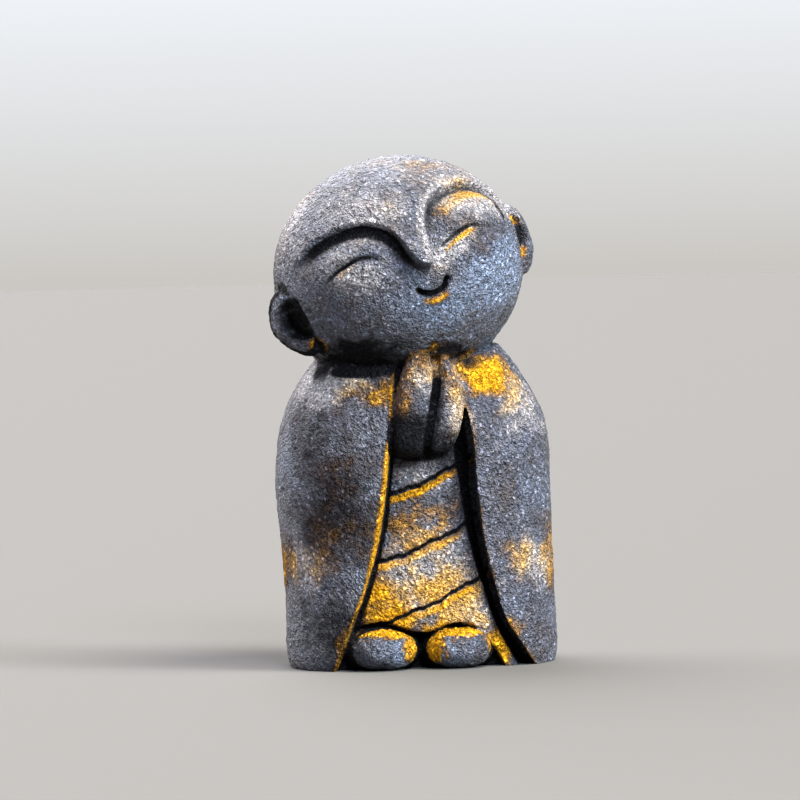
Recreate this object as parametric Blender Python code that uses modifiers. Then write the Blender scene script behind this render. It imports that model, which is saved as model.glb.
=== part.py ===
"""A small cast monk: head leaning to one side, palms pressed together, a mantle open
at the front over a wrapped robe, and two bare feet. One solid, standing on its base.

Forms are worked out in millimetres and become metres when each mesh is made.
+X is the figure's left hand side, -Y is its front and +Z is up."""

import math

import bmesh
import bpy
import numpy as np
from mathutils import Matrix

MM = 0.001

# Head: an egg a little wider than high, turned, nodding and leaning over one shoulder.
HEAD_CENTRE = (-2.3, -0.8, 61.7)
HEAD_HALF_WIDTH = 19.7
HEAD_HALF_DEPTH = 18.5
HEAD_HALF_HEIGHT = 17.8
HEAD_LEAN = math.radians(-15.6)
HEAD_NOD = math.radians(-1.6)
HEAD_TURN = math.radians(8.2)
SKULL_ROLL = math.radians(4.4)

# The face is drawn on the skin, in millimetres from its middle: across, then up.
SKIN_RADIUS = 18.5
BROW_RIGHT = ((-22.6, 5.3), (-18.2, 8.2), (-12.7, 9.4), (-7.4, 8.7), (-3.7, 5.8), (-2.2, 1.5))
NOSE_FOOT = ((-0.9, -0.5), (0.9, -0.6))
BROW_LEFT = ((1.4, 2.2), (2.4, 6.6), (5.2, 9.8), (11.1, 11.6), (17.2, 11.2), (20.0, 8.0), (18.8, 3.9))
BROW_DEPTHS = (0.0, 1.0, 1.3, 1.3, 1.6, 1.8, 0.7, 0.7, 1.1, 1.3, 1.3, 1.2, 1.1, 0.7, 0.0)
BROW_EDGE = 0.35
BROW_SOFT_EDGE = 0.75
BROW_SOFT_SHARE = 0.1
SOCKET_REACH = 5.0
NOSE_RISE = 1.5
NOSE_TOP = 7.0
NOSE_HALF_WIDTH = 3.5
FACE_REACH = math.radians(80)
FACE_DENSITY = 0.62
EYE_RIGHT = ((-17.0, 1.0), (-14.4, 2.4), (-11.6, 3.2), (-8.8, 3.3), (-5.6, 1.6))
EYE_LEFT = ((2.9, 0.9), (4.8, 2.1), (7.3, 3.0), (10.3, 3.4), (14.9, 2.1))
EYE_WIDTH = 0.75
EYE_DEPTH = 0.75
EYE_TAPER = 0.15
MOUTH = ((-2.4, -4.0), (-1.6, -4.9), (-0.4, -5.35), (0.9, -5.25), (1.9, -4.7), (2.7, -3.7))
MOUTH_HALF_WIDTHS = (0.25, 0.55, 0.62, 0.55, 0.5, 0.6)
MOUTH_DEPTH = 1.3
MOUTH_EDGE = (0.5, 1.2)
LIP_RISE = 0.3
LIP_DROP = 2.2
LIP_WIDTH = 0.5

# Ears: discs hollowed in front. Each is (across, forward, up) from the middle of the head.
EAR_RIGHT = (-19.3, 2.6, -3.2)
EAR_LEFT = (18.7, 2.2, -0.8)
EAR_HALF_HEIGHT = 5.7
EAR_HALF_WIDTH = 3.7
EAR_HALF_THICKNESS = 2.2
EAR_SPLAY = math.radians(38)
EAR_HOLLOW = 3.2
EAR_HOLLOW_SHIFT = 0.25
EAR_HOLLOW_FLOOR = 0.5
EAR_HOLLOW_BRIM = 0.76

# Mantle: half widths and half depths of the body at heights above the ground.
MANTLE_HEIGHTS = (-1.0, 0.6, 3.0, 10.0, 18.0, 28.0, 34.0, 38.0, 41.0, 44.0, 47.0, 49.3)
MANTLE_HALF_WIDTHS = (20.3, 20.9, 21.2, 21.1, 21.2, 21.5, 21.3, 20.6, 19.5, 17.9, 15.9, 14.0)
MANTLE_HALF_DEPTHS = (15.2, 15.8, 16.0, 15.9, 16.0, 16.2, 15.9, 15.3, 14.5, 13.4, 12.0, 10.9)
MANTLE_CENTRES = (0.0, 0.0, 0.0, -0.1, -0.4, -0.8, -0.7, -0.7, -0.9, -1.1, -1.1, -1.1)
MANTLE_FORWARDS = (0.0, 0.0, 0.0, 0.0, 0.0, 0.0, 0.1, 0.3, 0.5, 0.8, 1.1, 1.3)
MANTLE_SQUARENESS = 2.35
MANTLE_WALL = 3.0
COLLAR_DIP = 3.0
COLLAR_SLOPE = 0.04
COLLAR_FOOT = 29.6
DRAPE_WAVES = 6
DRAPE_DEPTH = 0.35
DRAPE_TOP = 34.5
DRAPE_SIDES = (0.3, 0.9)
LIP_SLANT_RIGHT = 1.1
LIP_SLANT_LEFT = 0.3

# Front edges of the mantle: how far across they stand at heights above the ground.
EDGE_HEIGHTS = (-1.0, 2.0, 7.4, 13.0, 20.0, 28.0, 36.0, 43.0, 46.5, 49.3)
EDGE_RIGHT = (-15.3, -14.3, -12.3, -10.3, -8.3, -7.0, -6.1, -5.4, -4.8, -4.4)
EDGE_LEFT = (17.1, 15.1, 11.7, 9.9, 8.4, 7.5, 7.1, 6.0, 4.0, 2.9)

# Robe showing in the opening: how far forward it stands, and where it ends at its left.
ROBE_HEIGHTS = (-1.0, 6.5, 13.0, 20.0, 26.0, 33.0, 40.0, 43.0, 46.0)
ROBE_FRONTS = (14.8, 14.6, 13.8, 13.1, 12.6, 12.0, 11.1, 10.3, 9.5)
ROBE_EDGE_LEFT = (14.6, 10.5, 8.4, 6.6, 5.7, 4.9, 4.9, 6.4, 8.0)
ROBE_CROWN = 0.018
ROBE_INSET = 1.5
ROBE_TOP = 46.8
ROBE_TURN = 1.4
GROOVE_FLOOR = 8.0
GROOVE_SHOULDER = 1.2
SEAM_WIDTH = 0.5
SEAM_DEPTH = 0.8

# Wrapped folds: each lies over the one above it along a slanting line.
FOLD_HEIGHTS = (28.9, 19.2, 9.9)
FOLD_SLOPE = 0.43
FOLD_SAG = 0.009
FOLD_STEP = 1.1
FOLD_LEDGE = 1.25
FOLD_CUT = 0.5
FOLD_CUT_WIDTH = 0.55

# Hem: its line over the feet, and the hollow beneath it.
HEM = ((-14.4, -1.0), (-11.6, 5.6), (-7.4, 7.2), (-1.3, 5.7), (4.3, 7.0), (8.6, 5.0), (12.2, -1.0))
HEM_HOLLOW = 9.5
HEM_EDGE = 0.3

# Hands: two lobes with a slit between. Each outline runs up the hand's outer side, as
# heights above the ground and how far across it stands.
HAND_RIGHT_HEIGHTS = (32.8, 33.6, 35.5, 38.0, 41.5, 45.0, 47.4, 48.8)
HAND_RIGHT_OUTLINE = (-4.2, -5.2, -5.6, -5.4, -4.8, -3.8, -2.7, -1.5)
HAND_LEFT_HEIGHTS = (33.2, 34.0, 35.5, 38.0, 41.5, 45.0, 47.2, 48.7)
HAND_LEFT_OUTLINE = (2.4, 3.6, 4.7, 5.6, 5.9, 4.9, 4.1, 3.3)
SLIT_HEIGHTS = (32.8, 35.2, 39.4, 43.7, 46.0, 48.8)
SLIT_MIDDLES = (-0.6, -0.4, 0.45, 1.2, 1.35, 1.1)
SLIT_HALF_WIDTHS = (0.42, 0.42, 0.42, 0.38, 0.42, 0.8)
HAND_MIDDLE = -13.0
HAND_HALF_DEPTH = 4.2
HAND_TILT = 0.1
HAND_FULLNESS = 3.4
HAND_SQUARENESS = 2.7
PALM_REACH = 2.5
PALM_SETBACK = 2.3
PALM_HEIGHTS = (33.6, 47.8)

# Feet: two rounded toe caps.
FOOT_ACROSS = (-7.3, 4.3)
FOOT_FRONT = 16.2
FOOT_HALF_WIDTH = 5.55
FOOT_HALF_LENGTH = 7.0
FOOT_HEIGHT = 6.5
FOOT_SQUARENESS = 2.3
FOOT_SINK = 0.4

# Casting: the forms are fused at this grain, then kept at this many faces.
FUSE_GRAIN = 0.32
FACES = 9200
SPHERE_DETAIL = 7
RING_POINTS = 220
RING_STEP = 0.35


def smooth(low, high, value):
    """Ramp from 0 at low to 1 at high, level at both ends."""
    t = np.clip((value - low) / (high - low), 0.0, 1.0)
    return t * t * (3.0 - 2.0 * t)


def curve(points, steps=8):
    """Points of a smooth curve that passes through the given ones."""
    knots = np.array(points, dtype=float)
    ends = np.vstack([2 * knots[0] - knots[1], knots, 2 * knots[-1] - knots[-2]])
    runs = []
    for k in range(len(knots) - 1):
        before, start, end, after = ends[k:k + 4]
        t = np.linspace(0.0, 1.0, steps, endpoint=False)[:, None]
        runs.append(0.5 * (2 * start + (end - before) * t
                           + (2 * before - 5 * start + 4 * end - after) * t ** 2
                           + (3 * start - before - 3 * end + after) * t ** 3))
    runs.append(knots[-1:])
    return np.vstack(runs)


def profile(places, values):
    """Function that reads a smooth line through the values at the given places."""
    line = curve(np.column_stack([places, values]))
    return lambda place: np.interp(place, line[:, 0], line[:, 1])


def from_line(points, line):
    """Distance of each point from a line, the side it is on and its share of the way.
    The distance is positive to the right of the line's direction."""
    nearest = np.full(len(points), np.inf)
    side = np.ones(len(points))
    share = np.zeros(len(points))
    for k, (start, end) in enumerate(zip(line[:-1], line[1:])):
        run = end - start
        offset = points - start
        t = np.clip(offset @ run / (run @ run), 0.0, 1.0)
        distance = np.linalg.norm(offset - t[:, None] * run, axis=1)
        closer = distance < nearest
        nearest[closer] = distance[closer]
        cross = run[1] * offset[:, 0] - run[0] * offset[:, 1]
        side[closer] = np.where(cross[closer] >= 0.0, 1.0, -1.0)
        share[closer] = (k + t[closer]) / (len(line) - 1)
    return nearest * side, share


def head_turn():
    """Rotation that leans, nods and turns the head."""
    return (Matrix.Rotation(HEAD_LEAN, 3, "Y") @ Matrix.Rotation(HEAD_NOD, 3, "X")
            @ Matrix.Rotation(HEAD_TURN, 3, "Z"))


def place_on_head(points):
    """Points given from the middle of the upright head, in the figure's own place."""
    return points @ np.array(head_turn()).T + np.array(HEAD_CENTRE)


def skull_radius(across, forward, up):
    """Radius of the egg in each direction."""
    roll_cos, roll_sin = math.cos(SKULL_ROLL), math.sin(SKULL_ROLL)
    width = (across * roll_cos - up * roll_sin) / HEAD_HALF_WIDTH
    height = (across * roll_sin + up * roll_cos) / HEAD_HALF_HEIGHT
    depth = forward / HEAD_HALF_DEPTH
    return 1.0 / np.sqrt(width ** 2 + depth ** 2 + height ** 2)


def face_relief(chart):
    """How far the skin stands out at each place on the face."""
    brow = curve(BROW_RIGHT + NOSE_FOOT + BROW_LEFT)
    below, share = from_line(chart, brow)
    stations = np.linspace(0.0, 1.0, len(BROW_DEPTHS))
    socket = -np.interp(share, stations, BROW_DEPTHS) * (1.0 - smooth(0.0, SOCKET_REACH, below))
    nose = NOSE_RISE * (1.0 - smooth(0.0, NOSE_TOP, chart[:, 1]))
    nose *= 1.0 - smooth(NOSE_HALF_WIDTH, 2 * NOSE_HALF_WIDTH, np.abs(chart[:, 0]))
    to_end = smooth(0.0, BROW_SOFT_SHARE, np.minimum(share, 1.0 - share))
    edge = BROW_SOFT_EDGE + (BROW_EDGE - BROW_SOFT_EDGE) * to_end
    forehead = smooth(-1.0, 1.0, -below / edge)
    relief = forehead * nose + (1.0 - forehead) * socket
    for eye in (EYE_RIGHT, EYE_LEFT):
        distance, along = from_line(chart, curve(eye))
        fade = smooth(0.0, EYE_TAPER, along) * (1.0 - smooth(1.0 - EYE_TAPER, 1.0, along))
        relief -= EYE_DEPTH * fade * (1.0 - smooth(0.0, EYE_WIDTH, np.abs(distance)))
    distance, along = from_line(chart, curve(MOUTH))
    bow = np.sin(math.pi * along)
    half = np.interp(along, np.linspace(0.0, 1.0, len(MOUTH_HALF_WIDTHS)), MOUTH_HALF_WIDTHS)
    relief -= MOUTH_DEPTH * (1.0 - smooth(*MOUTH_EDGE, np.abs(distance) / half))
    lip = np.exp(-((distance - LIP_DROP * half) / LIP_WIDTH) ** 2) * bow
    return relief + LIP_RISE * lip


def head_points(directions):
    """Head with its carved face. The points of the ball are first drawn towards the face."""
    reach = np.maximum(np.hypot(directions[:, 0], directions[:, 2]), 1e-9)
    spread = np.arccos(np.clip(-directions[:, 1], -1.0, 1.0))
    angle = spread * (FACE_DENSITY + (1.0 - FACE_DENSITY) * (spread / math.pi) ** 4)
    across = np.sin(angle) * directions[:, 0] / reach
    up = np.sin(angle) * directions[:, 2] / reach
    forward = np.cos(angle)
    radius = skull_radius(across, forward, up)
    chart = np.column_stack([directions[:, 0], directions[:, 2]]) * (SKIN_RADIUS * angle / reach)[:, None]
    face = angle < FACE_REACH
    radius[face] += face_relief(chart[face])
    return place_on_head(np.column_stack([across, -forward, up]) * radius[:, None])


def ear_points(directions, place, side):
    """Ear of one side: a disc that faces forwards and outwards, with a hollow and a rim."""
    out, front, up = side * directions[:, 0], -directions[:, 1], directions[:, 2]
    ring = np.hypot(out + EAR_HOLLOW_SHIFT, up)
    hollow = EAR_HOLLOW * (1.0 - smooth(EAR_HOLLOW_FLOOR, EAR_HOLLOW_BRIM, ring)) * (front > 0.0)
    out = out * EAR_HALF_WIDTH
    front = front * EAR_HALF_THICKNESS - hollow
    up = up * EAR_HALF_HEIGHT
    cos, sin = math.cos(EAR_SPLAY), math.sin(EAR_SPLAY)
    across = place[0] + side * (out * cos + front * sin)
    forward = place[1] - out * sin + front * cos
    return place_on_head(np.column_stack([across, -forward, place[2] + up]))


def hand_points(directions, heights, right, left, setback):
    """Part of the hands between two upright lines: a blunt lobe tilting back to the chin."""
    turn = np.arctan2(directions[:, 1], directions[:, 0])
    side, face = np.cos(turn), np.sin(turn)
    square = (np.abs(side) ** HAND_SQUARENESS + np.abs(face) ** HAND_SQUARENESS) ** (-1.0 / HAND_SQUARENESS)
    rise = directions[:, 2]
    level = 0.5 * (heights[0] + heights[-1] + rise * (heights[-1] - heights[0]))
    full = np.clip(1.0 - np.abs(rise) ** HAND_FULLNESS, 0.0, 1.0) ** (1.0 / HAND_FULLNESS)
    middle, half = 0.5 * (left(level) + right(level)), 0.5 * (left(level) - right(level))
    across = middle + half * side * square
    back = HAND_MIDDLE + setback + HAND_HALF_DEPTH * full * face * square
    back = back + HAND_TILT * (level - heights[0])
    return np.column_stack([across, back, level])


def hands():
    """The two hands, and the palms that join behind the slit between them."""
    slit, gap = profile(SLIT_HEIGHTS, SLIT_MIDDLES), profile(SLIT_HEIGHTS, SLIT_HALF_WIDTHS)
    outer_right = profile(HAND_RIGHT_HEIGHTS, HAND_RIGHT_OUTLINE)
    outer_left = profile(HAND_LEFT_HEIGHTS, HAND_LEFT_OUTLINE)
    lobes = (
        (HAND_RIGHT_HEIGHTS, outer_right, lambda z: slit(z) - gap(z), 0.0),
        (HAND_LEFT_HEIGHTS, lambda z: slit(z) + gap(z), outer_left, 0.0),
        (PALM_HEIGHTS, lambda z: slit(z) - PALM_REACH, lambda z: slit(z) + PALM_REACH, PALM_SETBACK),
    )
    return [ball(lambda d, a=lobe: hand_points(d, *a), SPHERE_DETAIL - 1) for lobe in lobes]


def foot_points(directions, across):
    """One foot: a toe cap with a blunt front, sunk a little below the ground."""
    power = 2.0 / FOOT_SQUARENESS
    shaped = np.sign(directions) * np.abs(directions) ** power
    half = np.array([FOOT_HALF_WIDTH, FOOT_HALF_LENGTH, (FOOT_HEIGHT + FOOT_SINK) / 2])
    middle = np.array([across, FOOT_HALF_LENGTH - FOOT_FRONT, (FOOT_HEIGHT - FOOT_SINK) / 2])
    return shaped * half + middle


def oval(angles, half_width, half_depth):
    """Radius of the body's rounded oval at angles measured from the front."""
    return (np.abs(np.sin(angles) / half_width) ** MANTLE_SQUARENESS
            + np.abs(np.cos(angles) / half_depth) ** MANTLE_SQUARENESS) ** (-1.0 / MANTLE_SQUARENESS)


def angle_at(across, half_width, half_depth):
    """Angle from the front at which the oval stands the given way across."""
    share = np.clip(np.abs(across / half_width), 0.0, 0.999) ** MANTLE_SQUARENESS
    return math.atan2(across, half_depth * (1.0 - share) ** (1.0 / MANTLE_SQUARENESS))


half_width_at = profile(MANTLE_HEIGHTS, MANTLE_HALF_WIDTHS)
half_depth_at = profile(MANTLE_HEIGHTS, MANTLE_HALF_DEPTHS)
centre_at = profile(MANTLE_HEIGHTS, MANTLE_CENTRES)
forward_at = profile(MANTLE_HEIGHTS, MANTLE_FORWARDS)
edge_right_at = profile(EDGE_HEIGHTS, EDGE_RIGHT)
edge_left_at = profile(EDGE_HEIGHTS, EDGE_LEFT)
robe_front_at = profile(ROBE_HEIGHTS, ROBE_FRONTS)
robe_edge_at = profile(ROBE_HEIGHTS, ROBE_EDGE_LEFT)


def drape(angles, height):
    """Soft upright folds that swell towards the ground at the back."""
    behind = smooth(*DRAPE_SIDES, -np.cos(angles))
    low = 1.0 - smooth(0.0, DRAPE_TOP, height)
    return DRAPE_DEPTH * behind * low * np.cos(DRAPE_WAVES * angles)


def mantle_ring(height):
    """One section of the mantle: out round the back, over a lip and in again."""
    centre = centre_at(height)
    right, left = edge_right_at(height) - centre, edge_left_at(height) - centre
    turns = []
    for inset, right_slant, left_slant in ((0.0, 0.0, 0.0), (MANTLE_WALL, LIP_SLANT_RIGHT, LIP_SLANT_LEFT)):
        wide, deep = half_width_at(height) - inset, half_depth_at(height) - inset
        start = angle_at(left + left_slant, wide, deep)
        end = angle_at(right + right_slant, wide, deep) + 2 * math.pi
        angles = np.linspace(start, end, RING_POINTS)
        radius = oval(angles, wide, deep) + drape(angles, height)
        turns.append(np.column_stack([centre + radius * np.sin(angles), -radius * np.cos(angles)]))
    ring = np.vstack([turns[0], turns[1][::-1]])
    rise = smooth(COLLAR_FOOT, MANTLE_HEIGHTS[-1], height)
    front = np.clip(-ring[:, 1] / MANTLE_HALF_DEPTHS[-1], 0.0, 1.0)
    level = height + rise * (COLLAR_SLOPE * ring[:, 0] - COLLAR_DIP * front ** 2)
    return np.column_stack([ring[:, 0], ring[:, 1] - forward_at(height), level])


def fold_relief(across, height):
    """How far the wrapped folds stand out on the robe."""
    relief = np.zeros_like(across)
    line = FOLD_SLOPE * across + FOLD_SAG * across ** 2
    tops = [fold + line for fold in FOLD_HEIGHTS]
    spans = [FOLD_HEIGHTS[0] - FOLD_HEIGHTS[1]] * len(tops)
    for top, span in zip(tops, spans):
        below = top - height
        ledge = smooth(0.0, FOLD_LEDGE, below)
        fall = 1.0 - np.clip((below - FOLD_LEDGE) / (span - FOLD_LEDGE), 0.0, 1.0)
        relief += FOLD_STEP * ledge * fall
        relief -= FOLD_CUT * (1.0 - smooth(0.0, FOLD_CUT_WIDTH, np.abs(below)))
    return relief


def robe_front(across, height):
    """How far back from the front the robe's surface is, as a Y coordinate."""
    forward = robe_front_at(height) - ROBE_CROWN * across ** 2
    forward = forward - FOLD_STEP / 2 + fold_relief(across, height)
    hem = np.interp(across, *curve(HEM).T)
    below_hem = smooth(-HEM_EDGE, HEM_EDGE, hem - height)
    forward = forward * (1.0 - below_hem) + HEM_HOLLOW * below_hem
    right, left = edge_right_at(height), edge_left_at(height)
    seam = np.clip(1.0 - np.abs(across - right - LIP_SLANT_RIGHT) / SEAM_WIDTH, 0.0, 1.0)
    forward = forward - SEAM_DEPTH * seam
    over = across - robe_edge_at(height)
    drop = np.clip(over / GROOVE_SHOULDER + 1.0, 0.0, 1.0)
    rounded = 1.0 - np.sqrt(np.clip(1.0 - drop ** 2, 0.0, 1.0))
    forward = forward - rounded * GROOVE_SHOULDER
    forward = np.where(over > 0.0, GROOVE_FLOOR, forward)
    open_here = (across > right) & (across < left + LIP_SLANT_LEFT)
    return np.where(open_here, -forward, -1e3)


def robe_ring(height):
    """One section of the robe: it fills the mantle, and stands free in the opening."""
    centre = centre_at(height)
    front = np.linspace(-ROBE_TURN, ROBE_TURN, 2 * RING_POINTS)
    back = np.linspace(ROBE_TURN, 2 * math.pi - ROBE_TURN, RING_POINTS // 2)[1:-1]
    angles = np.concatenate([front, back])
    radius = oval(angles, half_width_at(height) - ROBE_INSET, half_depth_at(height) - ROBE_INSET)
    across = centre + radius * np.sin(angles)
    depth = -radius * np.cos(angles) - forward_at(height)
    depth = np.where(depth < 0.0, np.maximum(depth, robe_front(across, height)), depth)
    return np.column_stack([across, depth, np.full(len(across), height)])


def ball(shape, detail):
    """Mesh of a ball whose points have been moved by a shape function."""
    bm = bmesh.new()
    bmesh.ops.create_icosphere(bm, subdivisions=detail, radius=1.0)
    mesh = bpy.data.meshes.new("ball")
    bm.to_mesh(mesh)
    bm.free()
    points = np.empty(len(mesh.vertices) * 3)
    mesh.vertices.foreach_get("co", points)
    moved = shape(points.reshape(-1, 3)) * MM
    mesh.vertices.foreach_set("co", moved.ravel())
    return mesh


def loft(rings):
    """Mesh of a closed skin over a stack of rings, with a flat cap at each end."""
    count = len(rings[0])
    points = np.vstack(rings) * MM
    faces = [list(range(count))[::-1]]
    for k in range(len(rings) - 1):
        low, high = k * count, (k + 1) * count
        for n in range(count):
            after = (n + 1) % count
            faces.append([low + n, low + after, high + after, high + n])
    faces.append([(len(rings) - 1) * count + n for n in range(count)])
    mesh = bpy.data.meshes.new("loft")
    mesh.from_pydata(points.tolist(), [], faces)
    return mesh


def forms():
    """Every form of the figure, as overlapping closed meshes."""
    meshes = [ball(head_points, SPHERE_DETAIL)]
    for place, side in ((EAR_RIGHT, -1), (EAR_LEFT, 1)):
        meshes.append(ball(lambda d, p=place, s=side: ear_points(d, p, s), SPHERE_DETAIL - 1))
    meshes += hands()
    for across in FOOT_ACROSS:
        meshes.append(ball(lambda d, a=across: foot_points(d, a), SPHERE_DETAIL - 1))
    top = MANTLE_HEIGHTS[-1]
    steps = int((top - MANTLE_HEIGHTS[0]) / RING_STEP)
    meshes.append(loft([mantle_ring(z) for z in np.linspace(MANTLE_HEIGHTS[0], top, steps)]))
    steps = int((ROBE_TOP - ROBE_HEIGHTS[0]) / RING_STEP)
    meshes.append(loft([robe_ring(z) for z in np.linspace(ROBE_HEIGHTS[0], ROBE_TOP, steps)]))
    return meshes


def evaluated(holder):
    """Mesh of an object after its modifiers."""
    graph = bpy.context.evaluated_depsgraph_get()
    return bpy.data.meshes.new_from_object(holder.evaluated_get(graph))


def fuse(meshes, grain, faces):
    """One mesh from overlapping closed ones, with soft inner corners and few faces."""
    bm = bmesh.new()
    for mesh in meshes:
        bm.from_mesh(mesh)
        bpy.data.meshes.remove(mesh)
    bmesh.ops.recalc_face_normals(bm, faces=bm.faces)
    rough = bpy.data.meshes.new("rough")
    bm.to_mesh(rough)
    bm.free()
    holder = bpy.data.objects.new("holder", rough)
    bpy.context.scene.collection.objects.link(holder)
    remesh = holder.modifiers.new("Fuse", "REMESH")
    remesh.mode = "VOXEL"
    remesh.voxel_size = grain * MM
    fused = evaluated(holder)
    holder.modifiers.clear()
    holder.data = fused
    thin = holder.modifiers.new("Thin", "DECIMATE")
    thin.use_collapse_triangulate = True
    thin.ratio = min(1.0, faces / (2 * len(fused.polygons)))
    result = evaluated(holder)
    bpy.data.objects.remove(holder)
    return result


def stone_material():
    """Dark sand-cast stone."""
    material = bpy.data.materials.new("sand_cast_stone")
    material.use_nodes = True
    shader = material.node_tree.nodes["Principled BSDF"]
    shader.inputs["Base Color"].default_value = (0.085, 0.087, 0.095, 1.0)
    shader.inputs["Roughness"].default_value = 0.85
    shader.inputs["Metallic"].default_value = 0.0
    return material


def ground_cutter(cutters):
    """Box whose top is the ground, which trims the figure flat."""
    side = 4.0 * max(MANTLE_HALF_WIDTHS) * MM
    bm = bmesh.new()
    bmesh.ops.create_cube(bm, size=side)
    bmesh.ops.translate(bm, vec=(0.0, 0.0, -side / 2), verts=bm.verts)
    mesh = bpy.data.meshes.new("ground_cut")
    bm.to_mesh(mesh)
    bm.free()
    cutter = bpy.data.objects.new("ground_cut", mesh)
    cutter.hide_render = True
    cutter.display_type = "WIRE"
    cutters.objects.link(cutter)
    return cutter


def main():
    for stray in list(bpy.data.objects):
        bpy.data.objects.remove(stray, do_unlink=True)
    scene = bpy.context.scene
    parts = bpy.data.collections.new("monk_statue")
    cutters = bpy.data.collections.new("cutters")
    scene.collection.children.link(parts)
    scene.collection.children.link(cutters)

    figure = bpy.data.objects.new("monk_figure", fuse(forms(), FUSE_GRAIN, FACES))
    parts.objects.link(figure)
    figure.data.name = "monk_figure"
    figure.data.materials.clear()
    figure.data.materials.append(stone_material())
    trim = figure.modifiers.new("Trim flat", "BOOLEAN")
    trim.operation = "DIFFERENCE"
    trim.solver = "EXACT"
    trim.object = ground_cutter(cutters)
    figure.data.shade_smooth()


main()
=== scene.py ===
"""Small monk statue, cast in one piece in sand-moulded stone with an ochre patina.

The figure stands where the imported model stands. Forms are worked out in millimetres and
become metres when each mesh is made. +X is the figure's own left, -Y is its front and
+Z is up."""

import math

import bmesh
import bpy
import numpy as np
from bpy.props import FloatProperty, FloatVectorProperty, IntProperty, PointerProperty
from mathutils import Matrix, Vector


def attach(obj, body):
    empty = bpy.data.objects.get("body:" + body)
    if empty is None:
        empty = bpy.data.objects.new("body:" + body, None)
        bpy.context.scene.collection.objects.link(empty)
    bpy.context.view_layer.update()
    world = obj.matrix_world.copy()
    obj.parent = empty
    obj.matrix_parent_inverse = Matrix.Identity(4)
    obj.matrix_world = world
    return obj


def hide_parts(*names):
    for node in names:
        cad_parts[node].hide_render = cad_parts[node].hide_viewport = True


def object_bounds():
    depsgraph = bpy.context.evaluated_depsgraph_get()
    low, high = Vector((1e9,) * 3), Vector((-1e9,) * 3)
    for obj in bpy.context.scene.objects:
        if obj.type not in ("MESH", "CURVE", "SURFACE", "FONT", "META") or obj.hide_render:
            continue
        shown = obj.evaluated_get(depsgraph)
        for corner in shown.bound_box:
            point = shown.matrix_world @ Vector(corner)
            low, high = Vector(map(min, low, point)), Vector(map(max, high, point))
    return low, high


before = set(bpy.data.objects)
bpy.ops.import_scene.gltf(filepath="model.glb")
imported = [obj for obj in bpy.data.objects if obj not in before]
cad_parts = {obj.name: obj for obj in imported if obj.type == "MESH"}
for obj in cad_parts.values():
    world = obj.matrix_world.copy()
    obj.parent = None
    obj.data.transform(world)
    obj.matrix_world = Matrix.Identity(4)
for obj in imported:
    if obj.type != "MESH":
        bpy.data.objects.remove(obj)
CAD_LOW, CAD_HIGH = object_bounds()
NODE = "monk_figure"

bl_info = {
    "name": "Monk Statue",
    "version": (1, 0, 0),
    "blender": (4, 5, 0),
    "location": "3D View > Sidebar > Monk Statue",
    "description": "Casts a small stone monk with a sandy surface and an ochre patina",
    "category": "Add Mesh",
}

MM = 0.001

# Head: an egg a little wider than high, turned, nodding and leaning over one shoulder.
HEAD_CENTRE = (-2.3, -0.8, 61.7)
HEAD_HALF_WIDTH = 19.7
HEAD_HALF_DEPTH = 18.5
HEAD_HALF_HEIGHT = 17.8
HEAD_LEAN = math.radians(-15.6)
HEAD_NOD = math.radians(-1.6)
HEAD_TURN = math.radians(8.2)
SKULL_ROLL = math.radians(4.4)

# The face is drawn on the skin, in millimetres from its middle: across, then up.
SKIN_RADIUS = 18.5
BROW_RIGHT = ((-22.6, 5.3), (-18.2, 8.2), (-12.7, 9.4), (-7.4, 8.7), (-3.7, 5.8), (-2.2, 1.5))
NOSE_FOOT = ((-0.9, -0.5), (0.9, -0.6))
BROW_LEFT = ((1.4, 2.2), (2.4, 6.6), (5.2, 9.8), (11.1, 11.6), (17.2, 11.2), (20.0, 8.0), (18.8, 3.9))
BROW_LINE = BROW_RIGHT + NOSE_FOOT + BROW_LEFT
BROW_DEPTHS = (0.0, 1.1, 1.4, 1.4, 1.7, 1.9, 0.9, 1.0, 1.4, 1.6, 1.7, 1.6, 1.4, 0.9, 0.0)
BROW_EDGE = 0.45
BROW_SOFT_EDGE = 0.75
BROW_SOFT_SHARE = 0.1
SOCKET_REACH = 5.0
NOSE_RISE = 1.5
NOSE_TOP = 7.0
NOSE_HALF_WIDTH = 3.5
FACE_REACH = math.radians(80)
FACE_DENSITY = 0.62
EYE_RIGHT = ((-17.0, 1.0), (-14.4, 2.4), (-11.6, 3.2), (-8.8, 3.3), (-5.6, 1.6))
EYE_LEFT = ((2.9, 0.9), (4.8, 2.1), (7.3, 3.0), (10.3, 3.4), (14.9, 2.1))
EYE_WIDTH = 0.75
EYE_DEPTH = 0.75
EYE_TAPER = 0.15
MOUTH = ((-2.4, -4.0), (-1.6, -4.9), (-0.4, -5.35), (0.9, -5.25), (1.9, -4.7), (2.7, -3.7))
MOUTH_HALF_WIDTHS = (0.25, 0.55, 0.62, 0.55, 0.5, 0.6)
MOUTH_DEPTH = 1.3
MOUTH_EDGE = (0.5, 1.2)
LIP_RISE = 0.3
LIP_DROP = 2.2
LIP_WIDTH = 0.5

# Ears: discs hollowed in front. Each is (across, forward, up) from the middle of the head.
EAR_RIGHT = (-19.3, 2.6, -3.2)
EAR_LEFT = (18.2, 3.8, -0.8)
EAR_HALF_HEIGHT = 5.7
EAR_HALF_WIDTH = 3.7
EAR_HALF_THICKNESS = 2.2
EAR_SPLAY = math.radians(38)
EAR_HOLLOW = 3.7
EAR_TUCK = 1.7
EAR_HOLLOW_SHIFT = 0.4
EAR_HOLLOW_RISE = 0.08
EAR_HOLLOW_SHORTER = 1.25
EAR_HOLLOW_FLOOR = 0.5
EAR_HOLLOW_BRIM = 0.8
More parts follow.
